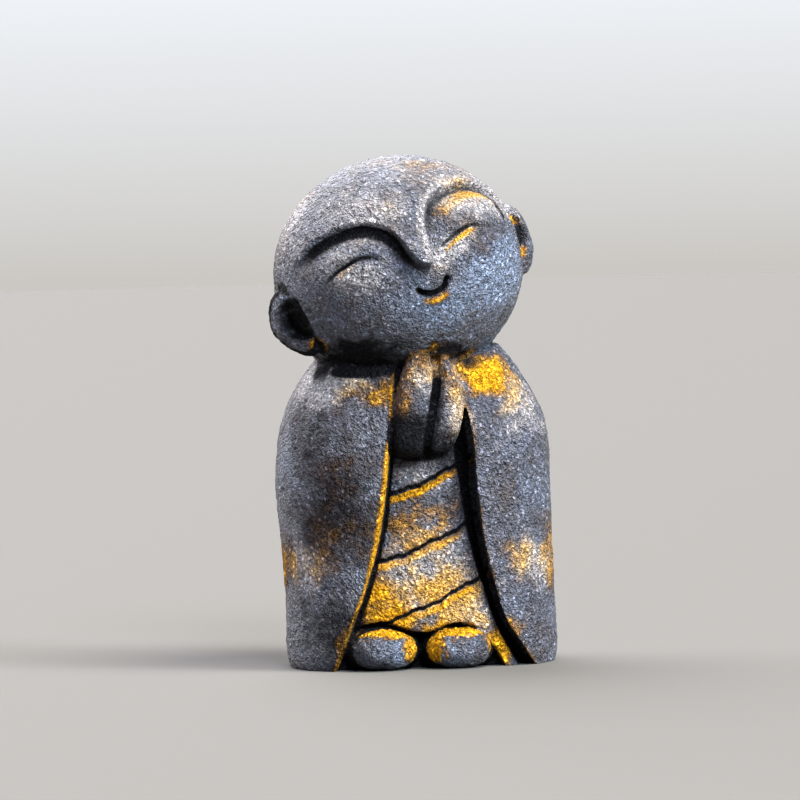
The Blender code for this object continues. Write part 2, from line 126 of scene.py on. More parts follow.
# Each ear's place, side and tuck, the ochre in its hollow and the painted shade on its rim.
EARS = ((EAR_RIGHT, -1, EAR_TUCK, 0.0, 1.0), (EAR_LEFT, 1, 0.0, 1.15, 0.0))

# Mantle: half widths and half depths of the body at heights above the ground.
MANTLE_HEIGHTS = (-1.0, 0.6, 3.0, 10.0, 18.0, 28.0, 34.0, 38.0, 41.0, 44.0, 47.0, 49.3)
MANTLE_HALF_WIDTHS = (20.3, 20.9, 21.2, 21.1, 21.2, 21.5, 21.3, 20.6, 19.5, 17.9, 15.9, 14.0)
MANTLE_HALF_DEPTHS = (15.2, 15.8, 16.0, 15.9, 16.0, 16.2, 15.9, 15.3, 14.5, 13.4, 12.0, 10.9)
MANTLE_CENTRES = (0.0, 0.0, 0.0, -0.1, -0.4, -0.8, -0.7, -0.7, -0.9, -1.1, -1.1, -1.1)
MANTLE_FORWARDS = (0.0, 0.0, 0.0, 0.0, 0.0, 0.0, 0.1, 0.3, 0.5, 0.8, 1.1, 1.3)
MANTLE_SQUARENESS = 2.35
OVAL_LIMIT = 0.999
MANTLE_WALL = 3.0
COLLAR_DIP = 3.0
COLLAR_SLOPE = 0.04
COLLAR_FOOT = 29.6
DRAPE_WAVES = 6
DRAPE_DEPTH = 0.35
DRAPE_TOP = 34.5
DRAPE_SIDES = (0.3, 0.9)
LIP_SLANT_RIGHT = 1.1
LIP_SLANT_LEFT = 0.3

# Front edges of the mantle: how far across they stand at heights above the ground.
EDGE_HEIGHTS = (-1.0, 2.0, 7.4, 13.0, 20.0, 28.0, 36.0, 43.0, 46.5, 49.3)
EDGE_RIGHT = (-15.3, -14.3, -12.3, -10.3, -8.3, -7.0, -6.1, -5.4, -4.8, -4.4)
EDGE_LEFT = (17.1, 15.1, 11.7, 9.9, 8.4, 7.5, 7.1, 6.0, 4.0, 2.9)

# Robe showing in the opening: how far forward it stands, and where it ends at its left.
ROBE_HEIGHTS = (-1.0, 6.5, 13.0, 20.0, 26.0, 33.0, 40.0, 43.0, 46.0)
ROBE_FRONTS = (14.8, 14.6, 13.8, 13.1, 12.6, 12.0, 11.1, 10.3, 9.5)
ROBE_EDGE_LEFT = (14.6, 10.5, 8.4, 6.6, 5.7, 4.9, 4.9, 6.4, 8.0)
ROBE_CROWN = 0.018
ROBE_INSET = 1.5
ROBE_TOP = 46.8
ROBE_TURN = 1.4
GROOVE_FLOOR = 8.0
GROOVE_SHOULDER = 1.2
SEAM_WIDTH = 0.5
SEAM_DEPTH = 0.8
NO_LIMIT = -1e3

# Wrapped folds: each lies over the one above it along a slanting line.
FOLD_HEIGHTS = (28.9, 19.2, 9.9)
FOLD_SLOPE = 0.43
FOLD_SAG = 0.009
FOLD_STEP = 1.1
FOLD_LEDGE = 1.25
FOLD_CUT = 0.7
FOLD_CUT_WIDTH = 0.7
FOLD_WAVER = ((0.16, 0.9, 0.4), (0.1, 2.3, 2.0), (0.06, 5.1, 1.0))

# Hem: its line over the feet, and the hollow beneath it.
HEM = ((-14.4, -1.0), (-11.6, 5.6), (-7.4, 7.2), (-1.3, 5.7), (4.3, 7.0), (8.6, 5.0), (12.2, -1.0))
HEM_HOLLOW = 9.5
HEM_EDGE = 0.3

# Hands: two lobes with a slit between. Each outline runs up the hand's outer side, as
# heights above the ground and how far across it stands.
HAND_RIGHT_HEIGHTS = (32.8, 33.6, 35.5, 38.0, 41.5, 45.0, 47.4, 48.8)
HAND_RIGHT_OUTLINE = (-4.2, -5.2, -5.6, -5.4, -4.8, -3.8, -2.7, -1.5)
HAND_LEFT_HEIGHTS = (33.2, 34.0, 35.5, 38.0, 41.5, 45.0, 47.2, 48.7)
HAND_LEFT_OUTLINE = (2.4, 3.6, 4.7, 5.6, 5.9, 4.9, 4.1, 3.3)
SLIT_HEIGHTS = (32.8, 35.2, 39.4, 43.7, 46.0, 48.8)
SLIT_MIDDLES = (-0.1, 0.1, 0.95, 1.7, 1.85, 1.6)
SLIT_HALF_WIDTHS = (0.42, 0.42, 0.42, 0.38, 0.42, 0.8)
HAND_MIDDLE = -13.0
HAND_HALF_DEPTH = 4.2
HAND_TILT = 0.1
HAND_FULLNESS = 3.4
HAND_SQUARENESS = 2.7
PALM_REACH = 2.5
PALM_SETBACK = 2.3
PALM_HEIGHTS = (33.6, 47.8)

# Feet: two rounded toe caps.
FOOT_ACROSS = (-7.3, 4.3)
FOOT_FRONT = 16.2
FOOT_HALF_WIDTH = 5.8
FOOT_HALF_LENGTH = 7.0
FOOT_HEIGHT = 6.8
FOOT_SQUARENESS = 2.3
FOOT_SINK = 0.4

# Casting: the detail of the balls and rings, before they are melted together.
HEAD_DETAIL = 8
BALL_DETAIL = 7
RING_POINTS = 600
RING_STEP = 0.16
# Sand relief: its named inputs, the noise level that lies on the skin, and a pit's floor and rim.
RELIEF_INPUTS = ("Lump width", "Lump height", "Grain width", "Grain height", "Pit spacing", "Pit depth",
                 "Seed")
RELIEF_LEVEL = 0.55
PIT_FLOOR = 0.1
PIT_RIM = 0.42

# A patch fades between these shares of its reach. Its uneven outline: how far it strays,
# how often and from where, and how much slower it strays crossways.
PATCH_FADE = (0.1, 1.1)
WANDER = ((1.3, 0.5, 0.5), (0.8, 1.2, 2.0), (0.4, 2.9, 4.0))
WANDER_CROSS = 0.7

# Patina and painted light and shade: soft patches, each with its place, its reach across,
# forward and up, and how strong it is. Ochre stays where the wash wasn't brushed off.
OCHRE_PATCHES = (
    ((9.4, -10.4, 45.6), (7.0, 5.4, 6.0), 1.75),
    ((13.4, -8.6, 42.6), (6.4, 6.4, 7.4), 0.70),
    ((-6.0, -12.8, 42.4), (5.4, 3.6, 4.4), 0.62),
    ((-12.0, -11.0, 42.0), (7.0, 6.0, 6.0), 0.40),
    ((1.7, -12.8, 47.4), (1.7, 2.6, 2.4), 1.15),
    ((2.1, -13.7, 49.4), (2.8, 2.0, 1.1), 1.25),
    ((9.0, -12.0, 77.0), (9.0, 7.0, 7.0), 0.60),
    ((3.0, -9.0, 80.0), (13.0, 10.0, 9.0), 0.32),
    ((-21.1, -2.0, 17.0), (5.0, 13.0, 6.0), 0.72),
    ((-16.0, -10.6, 16.8), (8.0, 6.0, 5.6), 0.60),
    ((20.4, -3.0, 16.6), (4.6, 13.0, 7.0), 0.78),
    ((14.4, -12.0, 15.6), (7.6, 5.0, 5.6), 0.60),
    ((-13.0, -12.0, 26.0), (9.0, 8.0, 14.0), 0.43),
    ((11.4, -13.0, 2.6), (4.2, 5.0, 6.6), 1.35),
    ((-13.2, -12.6, 4.4), (2.2, 4.0, 4.4), 0.95),
)
# Ochre that lies on the robe's panels alone.
PANEL_PATCHES = (
    ((-8.8, -14.0, 8.2), (9.6, 4.4, 8.4), 1.75),
    ((0.0, -13.6, 13.0), (9.6, 3.4, 5.4), 1.0),
    ((6.0, -14.2, 8.0), (9.0, 3.8, 8.0), 0.8),
    ((1.2, -14.2, 6.2), (5.0, 3.8, 3.8), 1.1),
    ((-1.0, -12.6, 21.4), (10.0, 3.0, 6.4), 0.72),
    ((-3.0, -12.6, 29.4), (4.6, 3.0, 3.4), 0.35),
)
# Dust is the warm grey of worn stone; on the places that face the light these patches are
# also painted highlight.
DUST_AND_HIGHLIGHT_PATCHES = (
    ((2.0, -8.0, 81.0), (22.0, 18.0, 15.0), 0.55),
    ((8.0, -12.0, 73.0), (10.0, 9.0, 8.0), 1.1),
    ((14.0, -8.0, 75.0), (10.0, 10.0, 9.0), 1.5),
    ((6.0, -16.0, 65.0), (7.0, 8.0, 4.6), 1.2),
    ((-8.0, -14.0, 69.0), (11.0, 9.0, 8.0), 0.75),
    ((-20.0, -4.0, 70.0), (8.0, 10.0, 12.0), 0.7),
    ((15.0, -8.0, 37.0), (9.0, 10.0, 12.0), 0.95),
    ((-13.5, -7.0, 44.0), (11.0, 9.0, 5.0), 1.1),
    ((-10.0, -16.0, 62.0), (8.0, 8.0, 5.0), 0.9),
    ((-1.0, -12.6, 30.0), (7.0, 4.0, 5.0), 0.8),
    ((1.4, -14.0, 45.0), (5.6, 6.0, 4.0), 1.2),
    ((4.6, -15.0, 39.0), (3.4, 6.0, 8.0), 1.2),
    ((-18.0, -7.0, 17.0), (6.6, 9.0, 6.6), 1.0),
    ((16.0, -9.0, 16.0), (8.0, 9.0, 6.6), 0.9),
    ((0.0, -13.5, 13.0), (14.0, 5.0, 16.0), 0.8),
    ((6.0, -14.0, 8.0), (7.0, 5.0, 5.0), 1.2),
)
# Clean stone, rubbed bare of dust, is bluer and lighter; on lit faces and the back-lit edge
# these patches are also painted light.
CLEAN_AND_LIT_PATCHES = (
    ((-1.5, -15.0, 3.0), (13.0, 6.0, 5.0), 1.0),
    ((4.0, -18.0, 56.0), (13.0, 9.0, 6.0), 0.8),
    ((12.0, -12.0, 61.0), (12.0, 13.0, 9.0), 1.1),
    ((17.0, -8.0, 30.0), (10.0, 14.0, 12.0), 0.5),
    ((-21.0, -6.0, 33.0), (5.0, 8.0, 10.0), 0.5),
    ((0.0, -12.0, 39.0), (4.0, 6.0, 8.0), 0.6),
)
# Painted shade: nearly black colour in the deep places under the head and by the jaw, on the
# shaded side of the body and where the figure meets the ground.
SHADE_PATCHES = (
    ((-8.5, -8.0, 47.2), (12.0, 9.0, 3.0), 1.5),
    ((-8.0, -12.0, 49.6), (12.0, 7.0, 3.6), 1.1),
    ((4.0, -11.0, 49.0), (9.0, 7.0, 3.4), 0.8),
    ((-19.6, -5.0, 55.0), (3.2, 5.4, 7.0), 0.55),
    ((-13.0, -12.0, 26.0), (12.0, 11.0, 14.0), 0.62),
    ((-15.0, -12.0, 6.0), (11.0, 10.0, 11.0), 0.62),
    ((-16.0, -10.0, 36.0), (11.0, 11.0, 9.0), 0.5),
    ((-10.0, -15.0, 0.0), (30.0, 30.0, 1.4), 0.5),
    ((-1.5, -18.0, 0.6), (13.0, 5.0, 3.6), 0.45),
)
# Patches with an even outline: ochre where the ear's lobe meets the head, and painted shade in
# the seams under the head and under the hands.
LOBE_PATCHES = (((-15.6, -8.1, 50.5), (2.3, 3.4, 1.9), 1.7),)
SEAM_PATCHES = (
    ((-9.6, -10.4, 46.1), (7.6, 5.0, 1.3), 2.4),
    ((-15.0, -7.6, 47.6), (3.0, 4.0, 1.0), 1.6),
    ((-1.0, -13.0, 33.2), (6.4, 5.0, 1.7), 2.2),
)

# Patina and painted shade that follow the carving. A pair of numbers is a ramp, from where to
# where. On the face they lie on the skin itself, not on what stands off it.
SKIN_LIMIT = 3.0
SKIN_FADE = (0.6, 1.2)
# Each carved line: the ochre below it, with its strength, distance, width and share of the
# line, and the painted shade in its cut, with its strength, its edge and how bluntly it ends.
FACE_LINES = (
    (EYE_RIGHT, 0.42, 0.8, 0.38, ((0.2, 0.3), (0.45, 0.85)), 0.9, (0.15, 0.6), 0.5),
    (EYE_LEFT, 1.25, 0.8, 0.38, ((0.0, 0.1), (0.45, 0.85)), 0.9, (0.15, 0.6), 0.5),
    (MOUTH, 1.0, 1.0, 0.42, ((0.12, 0.3), (0.62, 0.8)), 1.0, (0.35, 0.7), 0.0),
)
# The left brow has ochre in the socket and painted shade in its cut; the right one's ledge has painted shade.
SOCKET_STAIN = 0.85
SOCKET_BAND = ((0.3, 1.6), (2.6, 5.0))
SOCKET_SPAN = ((0.56, 0.85), (0.9, 1.0))
BROW_SHADE = 0.7
BROW_SHADE_DISTANCE = 0.6
BROW_SHADE_WIDTH = 0.8
BROW_SHADE_START = (0.55, 0.7)
LEDGE_SHADE = 1.2
LEDGE_SHADE_LOSS = 0.8
LEDGE_SHADE_LOSS_SPAN = (0.3, 0.45)
LEDGE_FULL = 0.35
LEDGE_REACH = 3.2
LEDGE_REACH_LOSS = 1.9
LEDGE_REACH_LOSS_SPAN = (0.26, 0.4)
LEDGE_EDGE = (-0.2, 0.2)
LEDGE_SPAN = ((0.0, 0.1), (0.5, 0.58))
# Pale wear and painted highlight on the ridge above the brow line and down the nose.
RIDGE_DISTANCE = 0.9
RIDGE_WIDTH = 0.9
RIDGE_LEAST = 0.4
RIDGE_SPAN = (0.4, 0.55)
# Ears: the middle of the hole painted dark as shade, as a share of the ear's half height, and
# the wash round it.
EAR_SHADE = 1.4
EAR_HOLE = 0.05
EAR_HOLE_RAMPS = ((0.5, 0.85), (0.1, 0.45))
EAR_WASH_RAMPS = ((0.6, 0.9), (0.15, 0.45))
EAR_RIM_RAMPS = ((0.72, 0.88), (1.0, 1.6))
EAR_LIMITS = (1.15, 1.2)
# Robe: ochre on the ledge of each fold, and painted shade in its cut and under the hem.
FOLD_STAINS = (1.25, 0.85, 0.95)
FOLD_STAIN_BAND = ((0.15, 0.45), (0.9, 1.9))
FOLD_STAIN_LOSS = 0.6
FOLD_STAIN_LOSS_SPAN = (-3.0, 0.0)
FOLD_SHADE = 1.1
FOLD_SHADE_EDGE = (0.1, 0.55)
FOLD_SHADE_RISE = 0.1
HEM_SHADE_EDGE = (-0.4, 0.6)
ROBE_SKIN = 1.0
BEHIND_ROBE = 1.5
# Width of the ochre on the mantle's right edge, at heights above the ground.
EDGE_WIDTHS = ((0.0, 0.45), (12.0, 0.45), (20.0, 0.75), (32.0, 0.75), (37.0, 0.35), (44.0, 0.2))
# Ochre on each edge: how strong, how far in from the edge, and up to what height.
EDGE_STAIN_RIGHT = (1.25, 0.25, 46.0)
EDGE_STAIN_LEFT = (0.4, 0.1, 40.0)
EDGE_WIDTH_LEFT = 0.4
EDGE_FRONT = -5.0
EDGE_DEPTH = 2.4
# Opening: painted shade in the groove at the figure's left and in the seam at its right.
GROOVE_RAMPS = ((-0.7, 0.1), (-0.6, 0.1), (0.9, 2.2))
SEAM_SHADE = 0.9
SEAM_RAMPS = ((0.8, 1.6), (0.3, 0.8))
OPENING_TOP = 47.0
# Hands: ochre on their outer sides and finger tips, painted shade in the slit and low down.
HAND_SKIN = 0.6
HAND_TOP = 49.3
HAND_LEAST = 0.5
HAND_BACK = 2.5
HAND_STAIN = (0.25, 0.3)
HAND_STAIN_RAMPS = ((0.2, 0.8), (36.0, 44.0))
FINGER_STAIN = 0.5
FINGER_HEIGHTS = (42.5, 45.5)
SLIT_CUT_SHADE = 1.6
SLIT_CUT_SHADE_RAMPS = ((0.4, 0.9), (44.0, 45.6))
SLIT_SHADE = 0.5
SLIT_SHADE_EDGE = (0.4, 1.8)
SLIT_SHADE_TOP = 46.0
# Painted shade low on the right and the left hand, and where it ends.
HAND_SHADE = (1.5, 0.7)
HAND_SHADE_TOPS = (43.5, 41.0)
HAND_SHADE_FOOT = 34.0
# Toes: ochre on top and down the inner sides.
TOE_STAIN = 1.6
TOE_TOP = (0.6, 0.88)
TOE_SIDE_STAIN = 1.15
TOE_SIDE = (0.25, 0.6)
TOE_SIDE_FOOT = (0.5, 1.5)
TOE_BACK = 4.0
TOE_SKIN = 0.4


def smooth(low, high, value):
    """Ramp from 0 at low to 1 at high, level at both ends."""
    t = np.clip((value - low) / (high - low), 0.0, 1.0)
    return t * t * (3.0 - 2.0 * t)


def fall(low, high, value):
    """Ramp from 1 at low to 0 at high."""
    return 1.0 - smooth(low, high, value)


def span(ramps, value):
    """1 between a rising and a falling ramp, and 0 outside them."""
    return smooth(*ramps[0], value) * fall(*ramps[1], value)


def near(full, none, distance):
    """1 up to one distance on either side, falling to 0 at a further one."""
    return fall(full, none, np.abs(distance))


def bell(middle, width, value):
    """1 at the middle, fading softly on both sides."""
    return np.exp(-((value - middle) / width) ** 2)


def curve(points, steps=8):
    """Points of a smooth curve that passes through the given ones."""
    knots = np.array(points, dtype=float)
    ends = np.vstack([2 * knots[0] - knots[1], knots, 2 * knots[-1] - knots[-2]])
    runs = []
    for k in range(len(knots) - 1):
        before, start, end, after = ends[k:k + 4]
        t = np.linspace(0.0, 1.0, steps, endpoint=False)[:, None]
        runs.append(0.5 * (2 * start + (end - before) * t
                           + (2 * before - 5 * start + 4 * end - after) * t ** 2
                           + (3 * start - before - 3 * end + after) * t ** 3))
    runs.append(knots[-1:])
    return np.vstack(runs)


def profile(places, values):
    """Function that reads a smooth line through the values at the given places."""
    line = curve(np.column_stack([places, values]))
    return lambda place: np.interp(place, line[:, 0], line[:, 1])


def from_line(points, line):
    """Distance of each point from a line, and its share of the way along it. The distance is
    positive on the right of the line's direction."""
    nearest = np.full(len(points), np.inf)
    side = np.ones(len(points))
    share = np.zeros(len(points))
    for k, (start, end) in enumerate(zip(line[:-1], line[1:])):
        run = end - start
        offset = points - start
        t = np.clip(offset @ run / (run @ run), 0.0, 1.0)
        distance = np.linalg.norm(offset - t[:, None] * run, axis=1)
        closer = distance < nearest
        nearest[closer] = distance[closer]
        cross = run[1] * offset[:, 0] - run[0] * offset[:, 1]
        side[closer] = np.where(cross[closer] >= 0.0, 1.0, -1.0)
        share[closer] = (k + t[closer]) / (len(line) - 1)
    return nearest * side, share


def head_turn():
    """Rotation that leans, nods and turns the head."""
    return (Matrix.Rotation(HEAD_LEAN, 3, "Y") @ Matrix.Rotation(HEAD_NOD, 3, "X")
            @ Matrix.Rotation(HEAD_TURN, 3, "Z"))


def place_on_head(points):
    """Points given from the middle of the upright head, in the figure's own place."""
    return points @ np.array(head_turn()).T + np.array(HEAD_CENTRE)


def skull_radius(across, forward, up):
    """Radius of the egg in each direction."""
    roll_cos, roll_sin = math.cos(SKULL_ROLL), math.sin(SKULL_ROLL)
    width = (across * roll_cos - up * roll_sin) / HEAD_HALF_WIDTH
    height = (across * roll_sin + up * roll_cos) / HEAD_HALF_HEIGHT
    depth = forward / HEAD_HALF_DEPTH
    return 1.0 / np.sqrt(width ** 2 + depth ** 2 + height ** 2)


def face_relief(chart):
    """How far the skin stands out at each place on the face."""
    below, share = from_line(chart, curve(BROW_LINE))
    stations = np.linspace(0.0, 1.0, len(BROW_DEPTHS))
    socket = -np.interp(share, stations, BROW_DEPTHS) * fall(0.0, SOCKET_REACH, below)
    nose = NOSE_RISE * fall(0.0, NOSE_TOP, chart[:, 1])
    nose *= near(NOSE_HALF_WIDTH, 2 * NOSE_HALF_WIDTH, chart[:, 0])
    to_end = smooth(0.0, BROW_SOFT_SHARE, np.minimum(share, 1.0 - share))
    edge = BROW_SOFT_EDGE + (BROW_EDGE - BROW_SOFT_EDGE) * to_end
    forehead = smooth(-1.0, 1.0, -below / edge)
    relief = forehead * nose + (1.0 - forehead) * socket
    for eye in (EYE_RIGHT, EYE_LEFT):
        distance, along = from_line(chart, curve(eye))
        taper = span(((0.0, EYE_TAPER), (1.0 - EYE_TAPER, 1.0)), along)
        relief -= EYE_DEPTH * taper * near(0.0, EYE_WIDTH, distance)
    distance, along = from_line(chart, curve(MOUTH))
    half = np.interp(along, np.linspace(0.0, 1.0, len(MOUTH_HALF_WIDTHS)), MOUTH_HALF_WIDTHS)
    relief -= MOUTH_DEPTH * near(*MOUTH_EDGE, distance / half)
    lip = bell(LIP_DROP * half, LIP_WIDTH, distance) * np.sin(math.pi * along)
    return relief + LIP_RISE * lip


def head_points(directions):
    """Head with its carved face. The points of the ball are first drawn towards the face."""
    reach = np.maximum(np.hypot(directions[:, 0], directions[:, 2]), 1e-9)
    spread = np.arccos(np.clip(-directions[:, 1], -1.0, 1.0))
    angle = spread * (FACE_DENSITY + (1.0 - FACE_DENSITY) * (spread / math.pi) ** 4)
    across = np.sin(angle) * directions[:, 0] / reach
    up = np.sin(angle) * directions[:, 2] / reach
    forward = np.cos(angle)
    radius = skull_radius(across, forward, up)
    chart = np.column_stack([directions[:, 0], directions[:, 2]]) * (SKIN_RADIUS * angle / reach)[:, None]
    face = angle < FACE_REACH
    radius[face] += face_relief(chart[face])
    return place_on_head(np.column_stack([across, -forward, up]) * radius[:, None])


def ear_ring(out, up):
    """How far a place on the ear lies from the middle of its hollow."""
    return np.hypot(out + EAR_HOLLOW_SHIFT, (up - EAR_HOLLOW_RISE) * EAR_HOLLOW_SHORTER)


def ear_points(directions, place, side, tuck):
    """Ear of one side: a disc that faces forwards and outwards, with a hollow and a rim."""
    out, front, up = side * directions[:, 0], -directions[:, 1], directions[:, 2]
    ring = ear_ring(out, up)
    hollow = EAR_HOLLOW * fall(EAR_HOLLOW_FLOOR, EAR_HOLLOW_BRIM, ring) * (front > 0.0)
    out = out * EAR_HALF_WIDTH - tuck * smooth(0.0, 1.0, -up)
    front = front * EAR_HALF_THICKNESS - hollow
    up = up * EAR_HALF_HEIGHT
    cos, sin = math.cos(EAR_SPLAY), math.sin(EAR_SPLAY)
    across = place[0] + side * (out * cos + front * sin)
    forward = place[1] - out * sin + front * cos
    return place_on_head(np.column_stack([across, -forward, place[2] + up]))


def hand_points(directions, heights, right, left, setback):
    """Part of the hands between two upright lines: a blunt lobe tilting back to the chin."""
    turn = np.arctan2(directions[:, 1], directions[:, 0])
    side, face = np.cos(turn), np.sin(turn)
    square = (np.abs(side) ** HAND_SQUARENESS + np.abs(face) ** HAND_SQUARENESS) ** (-1.0 / HAND_SQUARENESS)
    rise = directions[:, 2]
    level = 0.5 * (heights[0] + heights[-1] + rise * (heights[-1] - heights[0]))
    full = np.clip(1.0 - np.abs(rise) ** HAND_FULLNESS, 0.0, 1.0) ** (1.0 / HAND_FULLNESS)
    middle, half = 0.5 * (left(level) + right(level)), 0.5 * (left(level) - right(level))
    across = middle + half * side * square
    back = HAND_MIDDLE + setback + HAND_HALF_DEPTH * full * face * square
    back = back + HAND_TILT * (level - heights[0])
    return np.column_stack([across, back, level])


def hands():
    """The two hands, and the palms that join behind the slit between them."""
    slit, gap = profile(SLIT_HEIGHTS, SLIT_MIDDLES), profile(SLIT_HEIGHTS, SLIT_HALF_WIDTHS)
    outer_right = profile(HAND_RIGHT_HEIGHTS, HAND_RIGHT_OUTLINE)
    outer_left = profile(HAND_LEFT_HEIGHTS, HAND_LEFT_OUTLINE)
    lobes = (
        (HAND_RIGHT_HEIGHTS, outer_right, lambda z: slit(z) - gap(z), 0.0),
        (HAND_LEFT_HEIGHTS, lambda z: slit(z) + gap(z), outer_left, 0.0),
        (PALM_HEIGHTS, lambda z: slit(z) - PALM_REACH, lambda z: slit(z) + PALM_REACH, PALM_SETBACK),
    )
    return [ball(lambda d, a=lobe: hand_points(d, *a), BALL_DETAIL) for lobe in lobes]


def foot_points(directions, across):
    """One foot: a toe cap with a blunt front, sunk a little below the ground."""
    power = 2.0 / FOOT_SQUARENESS
    shaped = np.sign(directions) * np.abs(directions) ** power
    half = np.array([FOOT_HALF_WIDTH, FOOT_HALF_LENGTH, (FOOT_HEIGHT + FOOT_SINK) / 2])
    middle = np.array([across, FOOT_HALF_LENGTH - FOOT_FRONT, (FOOT_HEIGHT - FOOT_SINK) / 2])
    return shaped * half + middle


def oval(angles, half_width, half_depth):
    """Radius of the body's rounded oval at angles measured from the front."""
    return (np.abs(np.sin(angles) / half_width) ** MANTLE_SQUARENESS
            + np.abs(np.cos(angles) / half_depth) ** MANTLE_SQUARENESS) ** (-1.0 / MANTLE_SQUARENESS)


def angle_at(across, half_width, half_depth):
    """Angle from the front at which the oval stands the given way across."""
    share = np.clip(np.abs(across / half_width), 0.0, OVAL_LIMIT) ** MANTLE_SQUARENESS
    return math.atan2(across, half_depth * (1.0 - share) ** (1.0 / MANTLE_SQUARENESS))


half_width_at = profile(MANTLE_HEIGHTS, MANTLE_HALF_WIDTHS)
half_depth_at = profile(MANTLE_HEIGHTS, MANTLE_HALF_DEPTHS)
centre_at = profile(MANTLE_HEIGHTS, MANTLE_CENTRES)
forward_at = profile(MANTLE_HEIGHTS, MANTLE_FORWARDS)
edge_right_at = profile(EDGE_HEIGHTS, EDGE_RIGHT)
edge_left_at = profile(EDGE_HEIGHTS, EDGE_LEFT)
robe_front_at = profile(ROBE_HEIGHTS, ROBE_FRONTS)
robe_edge_at = profile(ROBE_HEIGHTS, ROBE_EDGE_LEFT)


def drape(angles, height):
    """Soft upright folds that swell towards the ground at the back."""
    behind = smooth(*DRAPE_SIDES, -np.cos(angles))
    return DRAPE_DEPTH * behind * fall(0.0, DRAPE_TOP, height) * np.cos(DRAPE_WAVES * angles)


def mantle_ring(height):
    """One section of the mantle: out round the back, over a lip and in again."""
    centre = centre_at(height)
    right, left = edge_right_at(height) - centre, edge_left_at(height) - centre
    turns = []
    for inset, right_slant, left_slant in ((0.0, 0.0, 0.0), (MANTLE_WALL, LIP_SLANT_RIGHT, LIP_SLANT_LEFT)):
        wide, deep = half_width_at(height) - inset, half_depth_at(height) - inset
        start = angle_at(left + left_slant, wide, deep)
        end = angle_at(right + right_slant, wide, deep) + 2 * math.pi
        angles = np.linspace(start, end, RING_POINTS)
        radius = oval(angles, wide, deep) + drape(angles, height)
        turns.append(np.column_stack([centre + radius * np.sin(angles), -radius * np.cos(angles)]))
    ring = np.vstack([turns[0], turns[1][::-1]])
    rise = smooth(COLLAR_FOOT, MANTLE_HEIGHTS[-1], height)
    front = np.clip(-ring[:, 1] / MANTLE_HALF_DEPTHS[-1], 0.0, 1.0)
    level = height + rise * (COLLAR_SLOPE * ring[:, 0] - COLLAR_DIP * front ** 2)
    return np.column_stack([ring[:, 0], ring[:, 1] - forward_at(height), level])


def fold_line(across, fold):
    """Height of the top edge of a fold, cut by hand and so not quite even."""
    line = fold + FOLD_SLOPE * across + FOLD_SAG * across ** 2
    for rise, pace, start in FOLD_WAVER:
        line = line + rise * np.sin(pace * across + start * fold)
    return line


def fold_relief(across, height):
    """How far the wrapped folds stand out on the robe."""
    relief = np.zeros_like(across)
    spacing = FOLD_HEIGHTS[0] - FOLD_HEIGHTS[1]
    for fold in FOLD_HEIGHTS:
        below = fold_line(across, fold) - height
        slope = 1.0 - np.clip((below - FOLD_LEDGE) / (spacing - FOLD_LEDGE), 0.0, 1.0)
        relief += FOLD_STEP * smooth(0.0, FOLD_LEDGE, below) * slope
        relief -= FOLD_CUT * near(0.0, FOLD_CUT_WIDTH, below)
    return relief


def robe_front(across, height):
    """How far back from the front the robe's surface is, as a Y coordinate."""
    forward = robe_front_at(height) - ROBE_CROWN * across ** 2
    forward = forward - FOLD_STEP / 2 + fold_relief(across, height)
    hem = np.interp(across, *curve(HEM).T)
    below_hem = smooth(-HEM_EDGE, HEM_EDGE, hem - height)
    forward = forward * (1.0 - below_hem) + HEM_HOLLOW * below_hem
    right, left = edge_right_at(height), edge_left_at(height)
    seam = np.clip(1.0 - np.abs(across - right - LIP_SLANT_RIGHT) / SEAM_WIDTH, 0.0, 1.0)
    forward = forward - SEAM_DEPTH * seam
    over = across - robe_edge_at(height)
    drop = np.clip(over / GROOVE_SHOULDER + 1.0, 0.0, 1.0)
    rounded = 1.0 - np.sqrt(np.clip(1.0 - drop ** 2, 0.0, 1.0))
    forward = forward - rounded * GROOVE_SHOULDER
    forward = np.where(over > 0.0, GROOVE_FLOOR, forward)
    open_here = (across > right) & (across < left + LIP_SLANT_LEFT)
    return np.where(open_here, -forward, NO_LIMIT)


def robe_ring(height):
    """One section of the robe: it fills the mantle, and stands free in the opening."""
    centre = centre_at(height)
    front = np.linspace(-ROBE_TURN, ROBE_TURN, 2 * RING_POINTS)
    back = np.linspace(ROBE_TURN, 2 * math.pi - ROBE_TURN, RING_POINTS // 2)[1:-1]
    angles = np.concatenate([front, back])
    radius = oval(angles, half_width_at(height) - ROBE_INSET, half_depth_at(height) - ROBE_INSET)
    across = centre + radius * np.sin(angles)
    depth = -radius * np.cos(angles) - forward_at(height)
    depth = np.where(depth < 0.0, np.maximum(depth, robe_front(across, height)), depth)
    return np.column_stack([across, depth, np.full(len(across), height)])


def array_of(items, name):
    """One property of many items, as rows of three numbers."""
    values = np.empty(len(items) * 3, dtype=np.float32)
    items.foreach_get(name, values)
    return values.reshape(-1, 3)


def ball(shape, detail):
    """Mesh of a ball whose points have been moved by a shape function."""
    bm = bmesh.new()
    bmesh.ops.create_icosphere(bm, subdivisions=detail, radius=1.0)
    mesh = bpy.data.meshes.new("ball")
    bm.to_mesh(mesh)
    bm.free()
    moved = shape(array_of(mesh.vertices, "co").astype(float)) * MM
    mesh.vertices.foreach_set("co", moved.ravel())
    return mesh


def loft(rings):
    """Mesh of a closed skin over a stack of rings, with a flat cap at each end."""
    count = len(rings[0])
    points = np.vstack(rings) * MM
    faces = [list(range(count))[::-1]]
    for k in range(len(rings) - 1):
        low, high = k * count, (k + 1) * count
        for n in range(count):
            after = (n + 1) % count
            faces.append([low + n, low + after, high + after, high + n])
    faces.append([(len(rings) - 1) * count + n for n in range(count)])
    mesh = bpy.data.meshes.new("loft")
    mesh.from_pydata(points.tolist(), [], faces)
    return mesh


